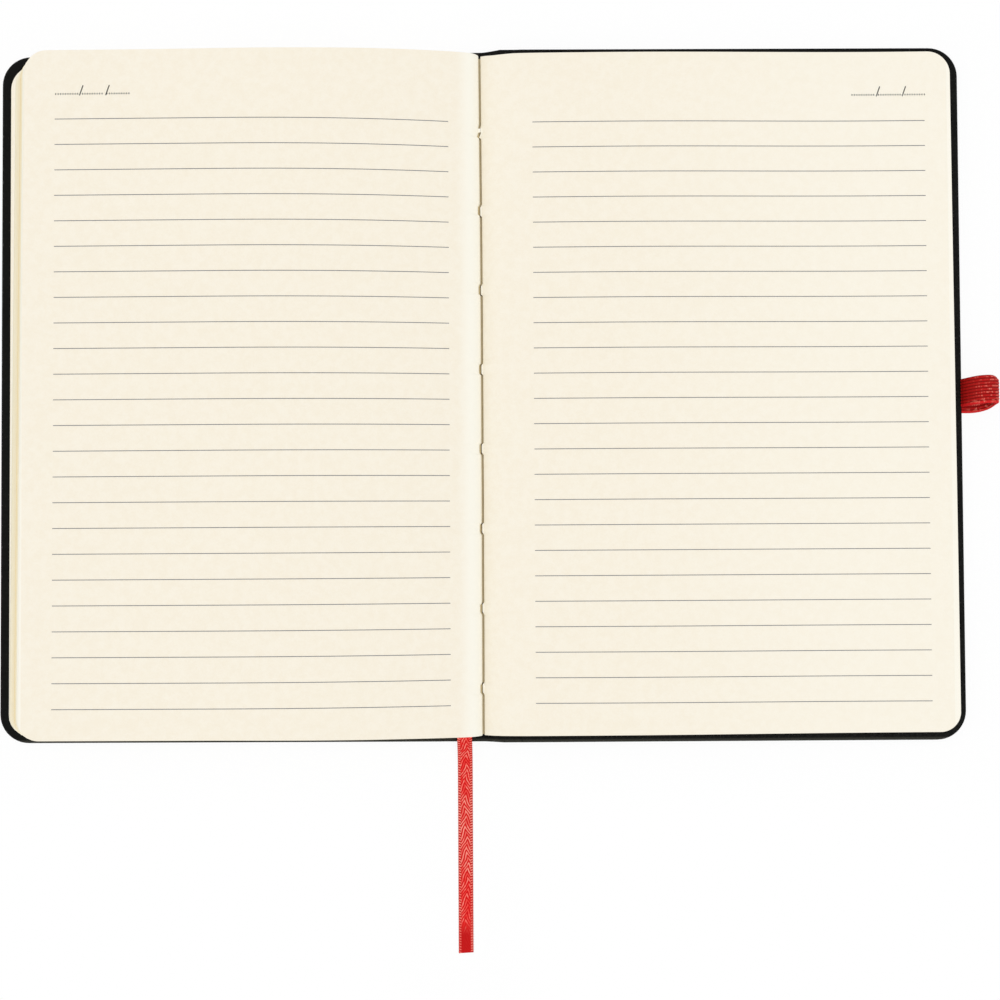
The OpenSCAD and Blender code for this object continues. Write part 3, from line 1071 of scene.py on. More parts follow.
@dataclass
class Studio:
    """The camera that was fitted to the photograph, a plain soft light and a white table."""

    spot: Point = (0.0125, -0.0471, 0.4828)
    turn: Triple = (1.698, 0.788, -0.323)
    lens: float = 55.72
    sensor: float = 36.0
    clip: Span = (0.01, 20.0)
    sky: float = 0.65
    white: Linear = (1.0, 1.0, 1.0, 1.0)
    lamps: tuple[tuple[str, float, Triple, float], ...] = (
        ("key_lamp", 0.84, (6.0, 24.0, 0.0), 30.0),
        ("fill_lamp", 0.48, (0.0, -52.0, 0.0), 60.0),
    )
    floor_reach: float = 3.0
    floor_z: float = -0.00005
    floor_colour: Rgb = (252, 252, 252)
    floor_roughness: float = 0.9
    floor_gloss: float = 0.1
    shadow_share: float = 0.08
    shadow_fade: Span = (0.004, 0.03)
    ribbon_spot: Pair = (-0.0053, -0.14)
    ribbon_half: Pair = (0.002, 0.035)

    def add_camera(self) -> None:
        """Adds the camera at the photograph's place and angle."""
        data = bpy.data.cameras.new("camera")
        data.lens = self.lens
        data.sensor_width = self.sensor
        data.clip_start, data.clip_end = self.clip
        camera = bpy.data.objects.new("camera", data)
        bpy.context.scene.collection.objects.link(camera)
        camera.location = self.spot
        camera.rotation_euler = [math.radians(a) for a in self.turn]
        bpy.context.scene.camera = camera

    def add_light(self) -> None:
        """Adds a soft lamp high on the right, a weaker one on the left and a sky that is seen as white."""
        for name, strength, turn, width in self.lamps:
            data = bpy.data.lights.new(name, "SUN")
            data.energy = strength
            data.angle = math.radians(width)
            lamp = bpy.data.objects.new(name, data)
            bpy.context.scene.collection.objects.link(lamp)
            lamp.rotation_euler = [math.radians(a) for a in turn]
        world = bpy.data.worlds.new("white_sky")
        world.use_nodes = True
        bpy.context.scene.world = world
        bench = Bench(world.node_tree)
        sky = next(n for n in world.node_tree.nodes if n.type == "BACKGROUND")
        out = next(n for n in world.node_tree.nodes if n.type == "OUTPUT_WORLD")
        sky.inputs["Color"].default_value = self.white
        sky.inputs["Strength"].default_value = self.sky
        seen = bench.add("ShaderNodeBackground")
        seen.inputs["Color"].default_value = self.white
        seen.inputs["Strength"].default_value = 1.0
        rays = bench.add("ShaderNodeLightPath")
        straight = bench.most(rays.outputs["Is Camera Ray"], rays.outputs["Is Transmission Ray"])
        join = bench.add("ShaderNodeMixShader")
        bench.feed(join.inputs[0], bench.most(straight, rays.outputs["Is Glossy Ray"]))
        bench.feed(join.inputs[1], sky.outputs[0])
        bench.feed(join.inputs[2], seen.outputs[0])
        bench.feed(out.inputs["Surface"], join.outputs[0])

    def add_floor(self) -> None:
        """Adds the white table: it keeps the shadow, and a cover folded down past it shows through."""
        bm = bmesh.new()
        bmesh.ops.create_grid(bm, x_segments=1, y_segments=1, size=self.floor_reach)
        bmesh.ops.translate(bm, verts=bm.verts[:], vec=(0.0, 0.0, self.floor_z))
        data = bpy.data.meshes.new("table_top")
        bm.to_mesh(data)
        bm.free()
        data.materials.append(self._table_finish())
        table = bpy.data.objects.new("table_top", data)
        bpy.context.scene.collection.objects.link(table)

    def _table_finish(self) -> bpy.types.Material:
        """Builds the table's material: clear to straight rays but for a faint share near the book.

        Returns:
            The material.
        """
        material, bench, shader = new_material("white_table")
        shader.inputs["Base Color"].default_value = linear(self.floor_colour)
        shader.inputs["Roughness"].default_value = self.floor_roughness
        shader.inputs["Specular IOR Level"].default_value = self.floor_gloss
        out = next(n for n in material.node_tree.nodes if n.type == "OUTPUT_MATERIAL")
        open_air = bench.add("ShaderNodeBsdfTransparent")
        rays = bench.add("ShaderNodeLightPath")
        join = bench.add("ShaderNodeMixShader")
        straight = bench.most(rays.outputs["Is Camera Ray"], rays.outputs["Is Glossy Ray"])
        low, high = (Vector(corner) for corner in CAD_BOX)
        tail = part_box("front_wrap")[0].y
        book_middle = ((low.x + high.x) / 2, (tail + high.y) / 2)
        book_half = ((high.x - low.x) / 2, (high.y - tail) / 2)
        shaded = bench.most(
            self._near(bench, book_middle, book_half), self._near(bench, self.ribbon_spot, self.ribbon_half)
        )
        clear = bench.rest_of(bench.times(shaded, self.shadow_share))
        bench.feed(join.inputs[0], bench.times(straight, clear))
        bench.feed(join.inputs[1], shader.outputs[0])
        bench.feed(join.inputs[2], open_air.outputs[0])
        bench.feed(out.inputs["Surface"], join.outputs[0])
        return material

    def _near(self, bench: Bench, middle: Pair, half: Pair) -> bpy.types.NodeSocket:
        """Masks a rectangle of the table, fading out around it.

        Args:
            bench: The material's bench.
            middle: X and Y of its middle.
            half: Half its size on X and Y.

        Returns:
            The mask.
        """
        x, y, _ = bench.split(bench.object_place())
        past_x = bench.minus(bench.apart(x, middle[0]), half[0])
        past_y = bench.minus(bench.apart(y, middle[1]), half[1])
        return bench.ramp(bench.most(past_x, past_y), *self.shadow_fade, 1.0, 0.0)


# The ribbon


@dataclass
class Ribbon:
    """Flat woven marker that comes out at the tail and lies on the table.

    The route repeats the CAD's: distance past the tail of the covers, and height of its middle.
    Shares of the width run from -0.5 to 0.5, and shares of the run from 0 to 1.
    """

    x: float = -0.0053
    width: float = SatinFinish.width
    thickness: float = 0.0004
    relief: float = 0.35
    rim_start: float = 0.44
    rim_loss: float = 0.5
    loop_start: float = 0.4
    loop_swell: float = 0.00005
    cut_start: float = 0.97
    cut_slant: float = -0.00015
    table_gap: float = 0.00001
    columns: int = 22
    rows: int = 400
    route: tuple[Pair, ...] = (
        (-0.0025, 0.0046),
        (-0.0012, 0.0045),
        (-0.0002, 0.0041),
        (0.0008, 0.0035),
        (0.0018, 0.0028),
        (0.0032, 0.0018),
        (0.0048, 0.0011),
        (0.0068, 0.0005),
        (0.0098, 0.0003),
        (0.015, 0.0002),
        (0.023, 0.0002),
        (0.032, 0.0002),
        (0.041, 0.0002),
        (0.050, 0.0002),
        (0.058, 0.0002),
        (0.0653, 0.0002),
    )

    def __post_init__(self) -> None:
        """Places the route's points in the part's frame and measures it."""
        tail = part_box("front_wrap")[0].y
        self.points = [Vector((self.x, tail - past, height)) for past, height in self.route]
        self.length = sum((b - a).length for a, b in zip(self.points, self.points[1:]))

    def at(self, share: float) -> tuple[Vector, Vector]:
        """Follows the route.

        Args:
            share: Share of the route's length.

        Returns:
            The point there and the upward direction.

        Raises:
            ValueError: The route has no length.
        """
        left = share * self.length
        for start, end in zip(self.points, self.points[1:]):
            step = (end - start).length
            if left <= step or end is self.points[-1]:
                heading = (end - start).normalized()
                return start + heading * min(left, step), Vector((0.0, heading.z, -heading.y))
            left -= step
        raise ValueError("the route has no length")

    def thread(self, off: float, along: float) -> float:
        """Height of the threads: loops along both selvedges, slanted threads between them.

        Args:
            off: Share of the width from the middle.
            along: Share of the run.

        Returns:
            The height, from 0 to 1.
        """
        satin, across, down = SatinFinish, off * self.width, along * self.length
        if abs(off) > satin.selvedge:
            side = math.copysign(satin.pitch * satin.loop_shift, off)
            lengthwise = down + side + satin.loop_slope * abs(across)
        else:
            ridge = satin.ridge_offset
            for size, wavelength, phase in satin.ridge_waves:
                ridge += size * math.sin(2 * math.pi * down / wavelength + phase)
            lengthwise = abs(across + ridge) - satin.thread_slope * down
        return 0.5 + 0.5 * math.sin(2 * math.pi * lengthwise / satin.pitch)

    def face(self, across: float, along: float, lift: float) -> Point:
        """Point of the ribbon's upper or lower face.

        Args:
            across: Share of the way across.
            along: Share of the run.
            lift: 1 for the upper face and -1 for the lower one.

        Returns:
            The point.
        """
        middle, up = self.at(along)
        off = across - 0.5
        thread = self.thread(off, along)
        rim = 1 - smooth_step(abs(off), self.rim_start, 0.5) * self.rim_loss
        half = rim * (1 - self.relief * (1 - thread)) * self.thickness / 2
        slant = -self.cut_slant * off * 2 * smooth_step(along, self.cut_start, 1.0)
        outwards = math.copysign(self.loop_swell, off)
        swell = outwards * (2 * thread - 1) * smooth_step(abs(off), self.loop_start, 0.5)
        p = middle + up * (lift * half)
        return p.x + off * self.width + swell, p.y + slant, max(p.z, self.table_gap)

    def build(self, palette: Palette) -> bpy.types.Object:
        """Args:
            palette: The materials.

        Returns:
            The ribbon.
        """
        sheet = Mesh()
        sheet.add_sheet(
            self.columns, self.rows, lambda a, b: self.face(a, b, 1.0), lambda a, b: self.face(a, b, -1.0)
        )
        piece = sheet.finish("ribbon_marker", [palette.ribbon])
        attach(piece, BOOK)
        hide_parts("ribbon")
        tuple(self.points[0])
        [tuple(p) for p in self.points]
        return piece


# The sheets


@dataclass(frozen=True)
class Tip:
    """How the right-hand cover lies, as in the CAD part.

    It is tipped about its fore edge, with its inner edge raised.
    """

    pivot_x: float = 0.14835
    pivot_z: float = 0.0009
    board_in: float = 0.0126
    lift: float = 0.0028
    hinge_x: float = 0.0098
    spine_half: float = 0.007
    spine_layers: float = 0.002
    play: float = 0.00002

    @property
    def angle(self) -> float:
        """Angle of the tipped cover, in radians."""
        return math.asin(self.lift / (self.pivot_x - self.board_in))

    @property
    def hinge_lift(self) -> float:
        """Rise of the joint's hinge line."""
        return (self.pivot_x - self.hinge_x) * math.sin(self.angle)

    @property
    def joint_roof(self) -> float:
        """Level of the leatherette turned in over the raised side of the spine."""
        return self.hinge_lift + self.spine_layers

    def top(self, d: float, level: float) -> float:
        """Height at distance d of a face that is at the given level of the cover when it lies flat."""
        rise = (self.pivot_x - d) * math.tan(self.angle)
        return self.pivot_z + (level - self.pivot_z) / math.cos(self.angle) + rise + self.play

    def place(self, x: float, y: float, z: float) -> Point:
        """Moves a point of the flat cover to where the tipped cover has it.

        Args:
            x: X on the flat cover.
            y: Y on the flat cover.
            z: Z on the flat cover.

        Returns:
            The point on the tipped cover.
        """
        across, up = x - self.pivot_x, z - self.pivot_z
        sin, cos = math.sin(self.angle), math.cos(self.angle)
        return self.pivot_x + across * cos + up * sin, y, self.pivot_z - across * sin + up * cos


@dataclass
class Block:
    """Shape of the open sheets, from the same sizes as the CAD part.

    Places across a page are distances d from the middle of the book. Pairs of sizes are for the left
    and right sides, and spans named over_ are the distances over which an edge's trim comes and goes.
    """

    left_stack: float = 0.0145
    right_stack: float = 0.0028
    left_creep: float = 0.0075
    right_creep: float = 0.0
    corner: float = 0.008
    corners: tuple[float, float, float, float] = (0.0062, 0.0066, 0.0062, 0.0070)
    gutter_rise: float = 0.0018
    fold_width: float = 0.0007
    fold_depth: float = 0.0012
    left_lift: float = 0.0038
    left_foot: float = 0.0016
    left_run: float = 0.080
    left_slope: float = 2.2
    left_sag: float = 0.0004
    right_bulge: float = 0.0026
    right_foot: float = 0.0047
    bulge_top: float = 0.038
    bulge_slope: float = 0.092
    back_width: float = 0.013
    back_right: float = 0.0025
    board_overlap: float = 0.001
    spine_overlap: float = 0.002
    joint_slack: float = 1.5
    paper: float = 0.0002
    tip: Tip = Tip()
    cockle: float = 0.00005
    cockle_fade: Span = (0.004, 0.02)
    cockle_broad: Triple = (22.0, 17.0, 1.7)
    cockle_fine: Triple = (70.0, 55.0, 4.1)
    cockle_fine_share: float = 0.4
    slit_first: float = 0.0142
    slit_pitch: float = 0.0246
    slit_length: float = 0.0038
    slit_margin: float = 0.010
    slit_ease: Span = (-0.0007, -0.0001)
    head_slit_ease: Span = (-0.0001, 0.0003)
    head_slit_above: float = 0.35
    head_slit_below: Pair = (0.1, 1.25)
    jog: float = 0.00055
    fold_drift: Triple = (0.00057, 0.00068, 0.0003)
    fold_waver: float = 0.00006
    waver_scale: float = 60.0
    waver_line: Pair = (0.3, 2.2)
    drift_run: Span = (0.0008, 0.006)
    fore_skew: Pair = (0.00065, 0.00035)
    fore_trim: Pair = (0.00025, 0.0)
    head_grown: float = 0.0003
    head_swell: float = 0.00025
    head_trim: float = 0.0004
    head_right: float = 0.00025
    tail_swell: float = 0.00028
    tail_start: float = 0.00018
    tail_slope: float = 0.0036
    over_head_grown: Span = (0.0, 0.005)
    over_head_swell: Span = (0.02, 0.06)
    over_head_trim: Span = (0.03, 0.11)
    over_head_right: Span = (0.004, 0.012)
    over_tail_swell: Span = (0.03, 0.085)
    stack_recess: float = 0.0006
    low: Vector = field(default_factory=lambda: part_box("text_block")[0])
    high: Vector = field(default_factory=lambda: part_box("text_block")[1])

    def __post_init__(self) -> None:
        """Places the slits once."""
        self.slits = self.slit_middles()

    @property
    def back_z(self) -> float:
        """Level of the back of the sheets."""
        return self.low.z

    @property
    def reach(self) -> float:
        """Reach of the lowest left-hand sheet."""
        return -self.low.x

    @property
    def half(self) -> float:
        """Half the height of a page."""
        return (self.high.y - self.low.y) / 2

    def slit_middles(self) -> list[float]:
        """Places the binding slits.

        Returns:
            Y of the middle of each, from the tail up.
        """
        room = 2 * self.half - self.slit_first - self.slit_margin
        count = 1 + int(room / self.slit_pitch)
        return [self.slit_first - self.half + self.slit_pitch * i for i in range(count)]

    def left_page(self, d: float) -> float:
        """Shapes the open left page across.

        Args:
            d: Distance from the gutter.

        Returns:
            The page's height there.
        """
        gutter = self.back_z + self.gutter_rise
        top = self.back_z + self.left_stack
        rise = top - gutter - self.left_lift
        edge = self.reach - self.left_creep
        return (
            top
            - rise * max(0.0, 1 - d / self.left_run) ** self.left_slope
            - self.left_lift * math.exp(-(d - self.fold_width / 2) / self.left_foot)
            - self.left_sag * (max(0.0, d - self.left_run) / edge) ** 2
        )

    def right_page(self, d: float) -> float:
        """Shapes the open right page across.

        Args:
            d: Distance from the gutter.

        Returns:
            The page's height there.
        """
        top = self.back_z + self.right_stack
        gutter = self.back_z + self.gutter_rise
        lift = top + self.right_bulge - gutter
        turn = min(1.0, max(0.0, (d - self.bulge_top) / self.bulge_slope))
        bulge = (1 + math.cos(math.pi * turn)) / 2
        foot = math.exp(-(d - self.fold_width / 2) / self.right_foot)
        return top + self.right_bulge * bulge - lift * foot

    def right_floor(self, d: float) -> float:
        """Finds how low the right-hand stack can lie.

        Args:
            d: Distance from the gutter.

        Returns:
            Least height over the tipped cover, or over the joint beside it.
        """
        tip = self.tip
        if d > tip.board_in - self.board_overlap:
            return tip.top(d, self.back_z - self.paper) + self.paper
        if d > tip.spine_half - self.spine_overlap:
            return tip.joint_roof + self.joint_slack * self.paper
        return self.back_z

    def right_under(self, d: float) -> float:
        """Height of the underside of the right-hand stack."""
        return max(self.right_floor(d), self.right_page(d) - self.right_stack)

    def ripple(self, x: float, y: float) -> float:
        """Cockles an open page slightly.

        Args:
            x: Place across the book.
            y: Place along it.

        Returns:
            Rise of the paper there.
        """

        def waves(scale_x: float, scale_y: float, layer: float) -> float:
            """Soft noise at a scale, from its own layer."""
            return noise.noise(Vector((x * scale_x, y * scale_y, layer)))

        both = waves(*self.cockle_broad) + self.cockle_fine_share * waves(*self.cockle_fine)
        return self.cockle * smooth_step(abs(x), *self.cockle_fade) * both

    def height(self, side: Side, x: float, y: float) -> float:
        """Height of an open page at a point."""
        page = self.left_page if side is Side.LEFT else self.right_page
        return page(abs(x)) + self.ripple(x, y)

    def stack_reach(self, side: Side, level: float) -> float:
        """Reach of the sheet at a level of its stack, 0 at the bottom and 1 at the top."""
        creep = self.left_creep if side is Side.LEFT else self.right_creep
        return self.reach - creep * level

    def row_y(self, along: float, turn: float) -> float:
        """Places a row of a sheet, with some of the rows gathered at each round corner.

        Args:
            along: Share of the way along the sheet.
            turn: Share of the rows that goes to each end.

        Returns:
            The row's Y.
        """
        flat = self.half - self.corner
        side = -1 if along < 0.5 else 1
        end = min(along, 1 - along)
        if end >= turn:
            return flat * (along - 0.5) / (0.5 - turn)
        return side * (flat + self.corner * math.sin(math.pi / 2 * (1 - end / turn)))

    def corner_cut(self, side: Side, y: float) -> float:
        """Rounds a sheet's corners.

        Args:
            side: Side of the gutter.
            y: Place along the sheet.

        Returns:
            How much the sheet is shortened there.
        """
        corner = self.corners[(0 if side is Side.LEFT else 2) + (1 if y > 0 else 0)]
        over = max(0.0, abs(y) - (self.half - corner))
        return corner - math.sqrt(max(0.0, corner**2 - over**2))

    def fore_edge(self, side: Side, level: float, y: float) -> float:
        """Finds a sheet's fore edge, cut a little out of square.

        Args:
            side: Side of the gutter.
            level: Level of the sheet in its stack.
            y: Place along the sheet.

        Returns:
            Reach of the sheet there.
        """
        turn = 0 if side is Side.LEFT else 1
        trim = self.fore_trim[turn] + self.fore_skew[turn] * y / self.half
        return self.stack_reach(side, level) - self.corner_cut(side, y) - trim

    def fold_place(self, y: float) -> float:
        """Finds the fold line, which wanders a little from tail to head.

        Args:
            y: Place along the book.

        Returns:
            The fold's X there.
        """
        tail, middle, head = self.fold_drift
        share = abs(y) / self.half
        base = middle + ((tail if y < 0 else head) - middle) * share * share
        across, layer = self.waver_line
        return base + self.fold_waver * noise.noise(Vector((across, y * self.waver_scale, layer)))

    def fold_shift(self, y: float) -> float:
        """Finds the open pages' inner edges: the fold line, with a step to the left at each binding slit.

        Args:
            y: Place along the book.

        Returns:
            X of the middle between the two edges.
        """
        middle = min(self.slits, key=lambda slit: abs(y - slit))
        half = self.slit_length / 2
        at_head = middle == self.slits[-1]
        start, end = self.head_slit_ease if at_head else self.slit_ease
        step = self.jog * (1 - smooth_step(abs(y - middle), half + start, half + end))
        if at_head:
            down = (middle - y) / half
            least, growth = self.head_slit_below
            step *= self.head_slit_above if down < 0 else least + growth * down
        return self.fold_place(y) - step

    def squared(self, side: Side, d: float, y: float) -> float:
        """Trims the head and tail edges of the sheets, which are cut a little out of square.

        Args:
            side: Side of the gutter.
            d: Distance from the middle of the book.
            y: Place along an untrimmed sheet.

        Returns:
            Place along the trimmed sheet.
        """
        if y < 0:
            left = self.tail_swell * (1 - smooth_step(d, *self.over_tail_swell))
            grown = left if side is Side.LEFT else self.tail_start - self.tail_slope * d
            return y + grown * y / self.half
        grown = self.head_grown * (1 - smooth_step(d, *self.over_head_grown))
        if side is Side.LEFT:
            grown += self.head_swell * (1 - smooth_step(d, *self.over_head_swell))
            grown -= self.head_trim * smooth_step(d, *self.over_head_trim)
        else:
            grown += self.head_right * smooth_step(d, *self.over_head_right)
        return y + grown * y / self.half

    def shifted(self, x: float, shift: float) -> float:
        """Moves a place near the fold along with it, and leaves places further out as they are."""
        return x + shift * (1 - smooth_step(abs(x), *self.drift_run))

    def sheet_point(self, side: Side, level: float, across: float, y: float, slack: float) -> Point:
        """Point on a sheet at a level of its stack.

        Args:
            side: Side of the gutter.
            level: 0 at the bottom of the stack and 1 at the open page.
            across: Share of the way from the back to the fore edge.
            y: Place along the sheet.
            slack: How far this sheet stands out past its neighbours at the fore edge.

        Returns:
            The point.
        """
        left = side is Side.LEFT
        back = self.back_width - self.back_right if left else self.back_right
        inner = self.fold_width / 2
        start = back + (inner + self.stack_recess - back) * level
        end = self.fore_edge(side, level, y) + slack
        d = spread(start, end, across)
        floor = self.back_z if left else self.right_under(d)
        top = self.left_page(d) if left else self.right_page(d)
        gone = min(1.0, max(0.0, 1 - (d - inner) / (back - inner)))
        share = 1.0 if level >= 1 else max(0.0, (level - gone) / max(1e-6, 1 - gone))
        x = self.shifted(side.value * d, self.fold_place(y) * level)
        return x, self.squared(side, d, y), floor + (top - floor) * share


@dataclass
class Sheets:
    """The stacks of sheets on both sides and the two open pages on top of them."""

    block: Block
    left_leaves: int = 46
    right_leaves: int = 9
    page_thickness: float = 0.00012
    stack_gap: float = 1.2
    gap_share: float = 0.04
    jitter: float = 0.00009
    leaf_columns: int = 28
    leaf_rows: int = 24
    leaf_gather: float = 0.28
    page_columns: int = 72
    page_rows: int = 420
    page_gather: float = 0.06
    fold_share: float = 0.06
    fold_curve: float = 1.5
    fold_spread: float = 0.00004
    fold_drop: float = 0.2
    page_spread: float = 1.55
    seed: int = 7

    def build(self, palette: Palette) -> list[bpy.types.Object]:
        """Builds the four pieces that stand for the CAD's block of sheets.

        Args:
            palette: The materials.

        Returns:
            The pieces.
        """
        made = []
        for side, leaves in ((Side.LEFT, self.left_leaves), (Side.RIGHT, self.right_leaves)):
            made.append(self._stack(side, leaves, palette))
            made.append(self._open_page(side, palette))
        for piece in made:
            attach(piece, BOOK)
            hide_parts("text_block")
        return made

    def _stack(self, side: Side, leaves: int, palette: Palette) -> bpy.types.Object:
        """Builds one stack of leaves, each a few sheets thick and cut a little unevenly.

        Args:
            side: Side of the gutter.
            leaves: Number of leaves.
            palette: The materials.

        Returns:
            The stack.
        """
        block = self.block
        draw = random.Random(self.seed + side.value)
        thick = block.left_stack if side is Side.LEFT else block.right_stack
        top_level = 1 - self.stack_gap * self.page_thickness / thick
        sheets = Mesh()
        for i in range(leaves):
            low = top_level * (i + (self.gap_share if i else 0.0)) / leaves
            high = top_level * (i + 1) / leaves
            slack, head, tail = (draw.uniform(-self.jitter, self.jitter) for _ in range(3))

            def place(across: float, along: float, level: float) -> Point:
                """Point of this leaf.

                Args:
                    across: Share of the way across it.
                    along: Share of the way along it.
                    level: Level in the stack.

                Returns:
                    The point.
                """
                y = block.row_y(along, self.leaf_gather)
                x, cut_y, z = block.sheet_point(side, level, across, y, slack)
                return x, cut_y + (head if y > 0 else tail) * abs(y) / block.half, z

            sheets.add_sheet(
                self.leaf_columns,
                self.leaf_rows,
                lambda a, b: place(a, b, high),
                lambda a, b: place(a, b, low),
                wall_material=1,
            )
        return sheets.finish(f"{side.name.lower()}_stack", [palette.page, palette.page_edges])

    def _open_page(self, side: Side, palette: Palette) -> bpy.types.Object:
        """Builds the open page: one fine sheet that turns down into the fold.

        Args:
            side: Side of the gutter.
            palette: The materials.

        Returns:
            The page.
        """
        block = self.block
        inner = block.fold_width / 2

        def place(across: float, along: float, drop: float) -> Point:
            """Point of the page.

            Args:
                across: Share of the way across it.
                along: Share of the way along it.
                drop: Drop below the upper face.

            Returns:
                The point.
            """
            y = block.row_y(along, self.page_gather)
            shift = block.fold_shift(y)
            if across < self.fold_share:
                turn = across / self.fold_share
                z = block.back_z + block.gutter_rise - block.fold_depth * (1 - turn) ** self.fold_curve
                x = side.value * (inner + self.fold_spread * turn - drop * self.fold_drop) + shift
                return x, block.squared(side, inner, y), z
            share = (across - self.fold_share) / (1 - self.fold_share)
            end = block.fore_edge(side, 1.0, y)
            d = spread(inner + self.fold_spread, end, share, self.page_spread)
            x = block.shifted(side.value * d, shift)
            return x, block.squared(side, d, y), block.height(side, side.value * d, y) - drop

        sheet = Mesh()
        sheet.add_sheet(
            self.page_columns,
            self.page_rows,
            lambda a, b: place(a, b, 0.0),
            lambda a, b: place(a, b, self.page_thickness),
            wall_material=1,
        )
        return sheet.finish(f"{side.name.lower()}_page", [palette.page, palette.page_edges])


# The printing


@dataclass
class Ruling:
    """Printed lines and the dotted date line of one page, as thin strips just over the paper."""

    side: Side
    block: Block
    first_y: float
    start_x: float
    end_x: float
    date_start: float
    date_end: float
    date_y: float
    lines: int = 24
    pitch: float = 0.007782
    drift: float = -0.0005
    width: float = 0.0002
    line_steps: int = 90
    lift: float = 0.00004
    base: float = 0.00001
    dot: float = 0.0005
    dot_width: float = 0.00027
    dot_pitch: float = 0.000745
    slash_starts: tuple[float, ...] = (0.0075, 0.0155)
    slash_lean: float = 0.0011
    slash_rise: float = 0.0031
    slash_foot: float = 0.0005
    slash_width: float = 0.0003
    slash_gap: float = 0.00038
    slash_steps: int = 4

    def build(self, palette: Palette) -> bpy.types.Object:
        """Builds the printing of the page.

        Args:
            palette: The materials.

        Returns:
            The piece.
        """
        marks = Mesh()
        for i in range(self.lines):
            y = self.first_y - self.pitch * i
            shift = self.drift * i / (self.lines - 1)
            self._stroke(marks, (self.start_x + shift, y), (self.end_x, y), self.width, self.line_steps)
        slashes = [self.date_start + start for start in self.slash_starts]
        foot = self.date_y - self.slash_foot
        for x in slashes:
            end = (x + self.slash_lean, foot + self.slash_rise)
            self._stroke(marks, (x, foot), end, self.slash_width, self.slash_steps, dark=True)
        half = self.dot_width / 2
        for i in range(1 + round((self.date_end - self.date_start) / self.dot_pitch)):
            x = self.date_start + self.dot_pitch * i
            if all(abs(x - slash) > self.slash_gap for slash in slashes):
                start, end = (x - half, self.date_y), (x + half, self.date_y)
                self._stroke(marks, start, end, self.dot, 1, dark=True)
        name = f"{self.side.name.lower()}_ruling"
        piece = marks.finish(name, [palette.ink, palette.dark_ink], smooth=False)
        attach(piece, BOOK)
        return piece

    def _stroke(
        self, marks: Mesh, start: Pair, end: Pair, width: float, steps: int, dark: bool = False
    ) -> None:
        """Adds one straight stroke that follows the page.

        Args:
            marks: The piece that it joins.
            start: X and Y of its start.
            end: X and Y of its end.
            width: Its width.
            steps: Steps along it.
            dark: Whether it is in the date line's darker ink.
        """
        run = Vector((end[0] - start[0], end[1] - start[1]))
        normal = Vector((-run.y, run.x)).normalized() * width

        def place(across: float, along: float, lift: float) -> Point:
            """Point of the stroke.

            Args:
                across: Share of the way across it.
                along: Share of the way along it.
                lift: Lift over the paper.

            Returns:
                The point.
            """
            x = start[0] + run.x * along + normal.x * (across - 0.5)
            y = start[1] + run.y * along + normal.y * (across - 0.5)
            return x, y, self.block.height(self.side, x, y) + lift

        ink = 1 if dark else 0
        marks.add_sheet(
            1, steps, lambda a, b: place(a, b, self.lift), lambda a, b: place(a, b, self.base), ink, ink
        )


# The gutter


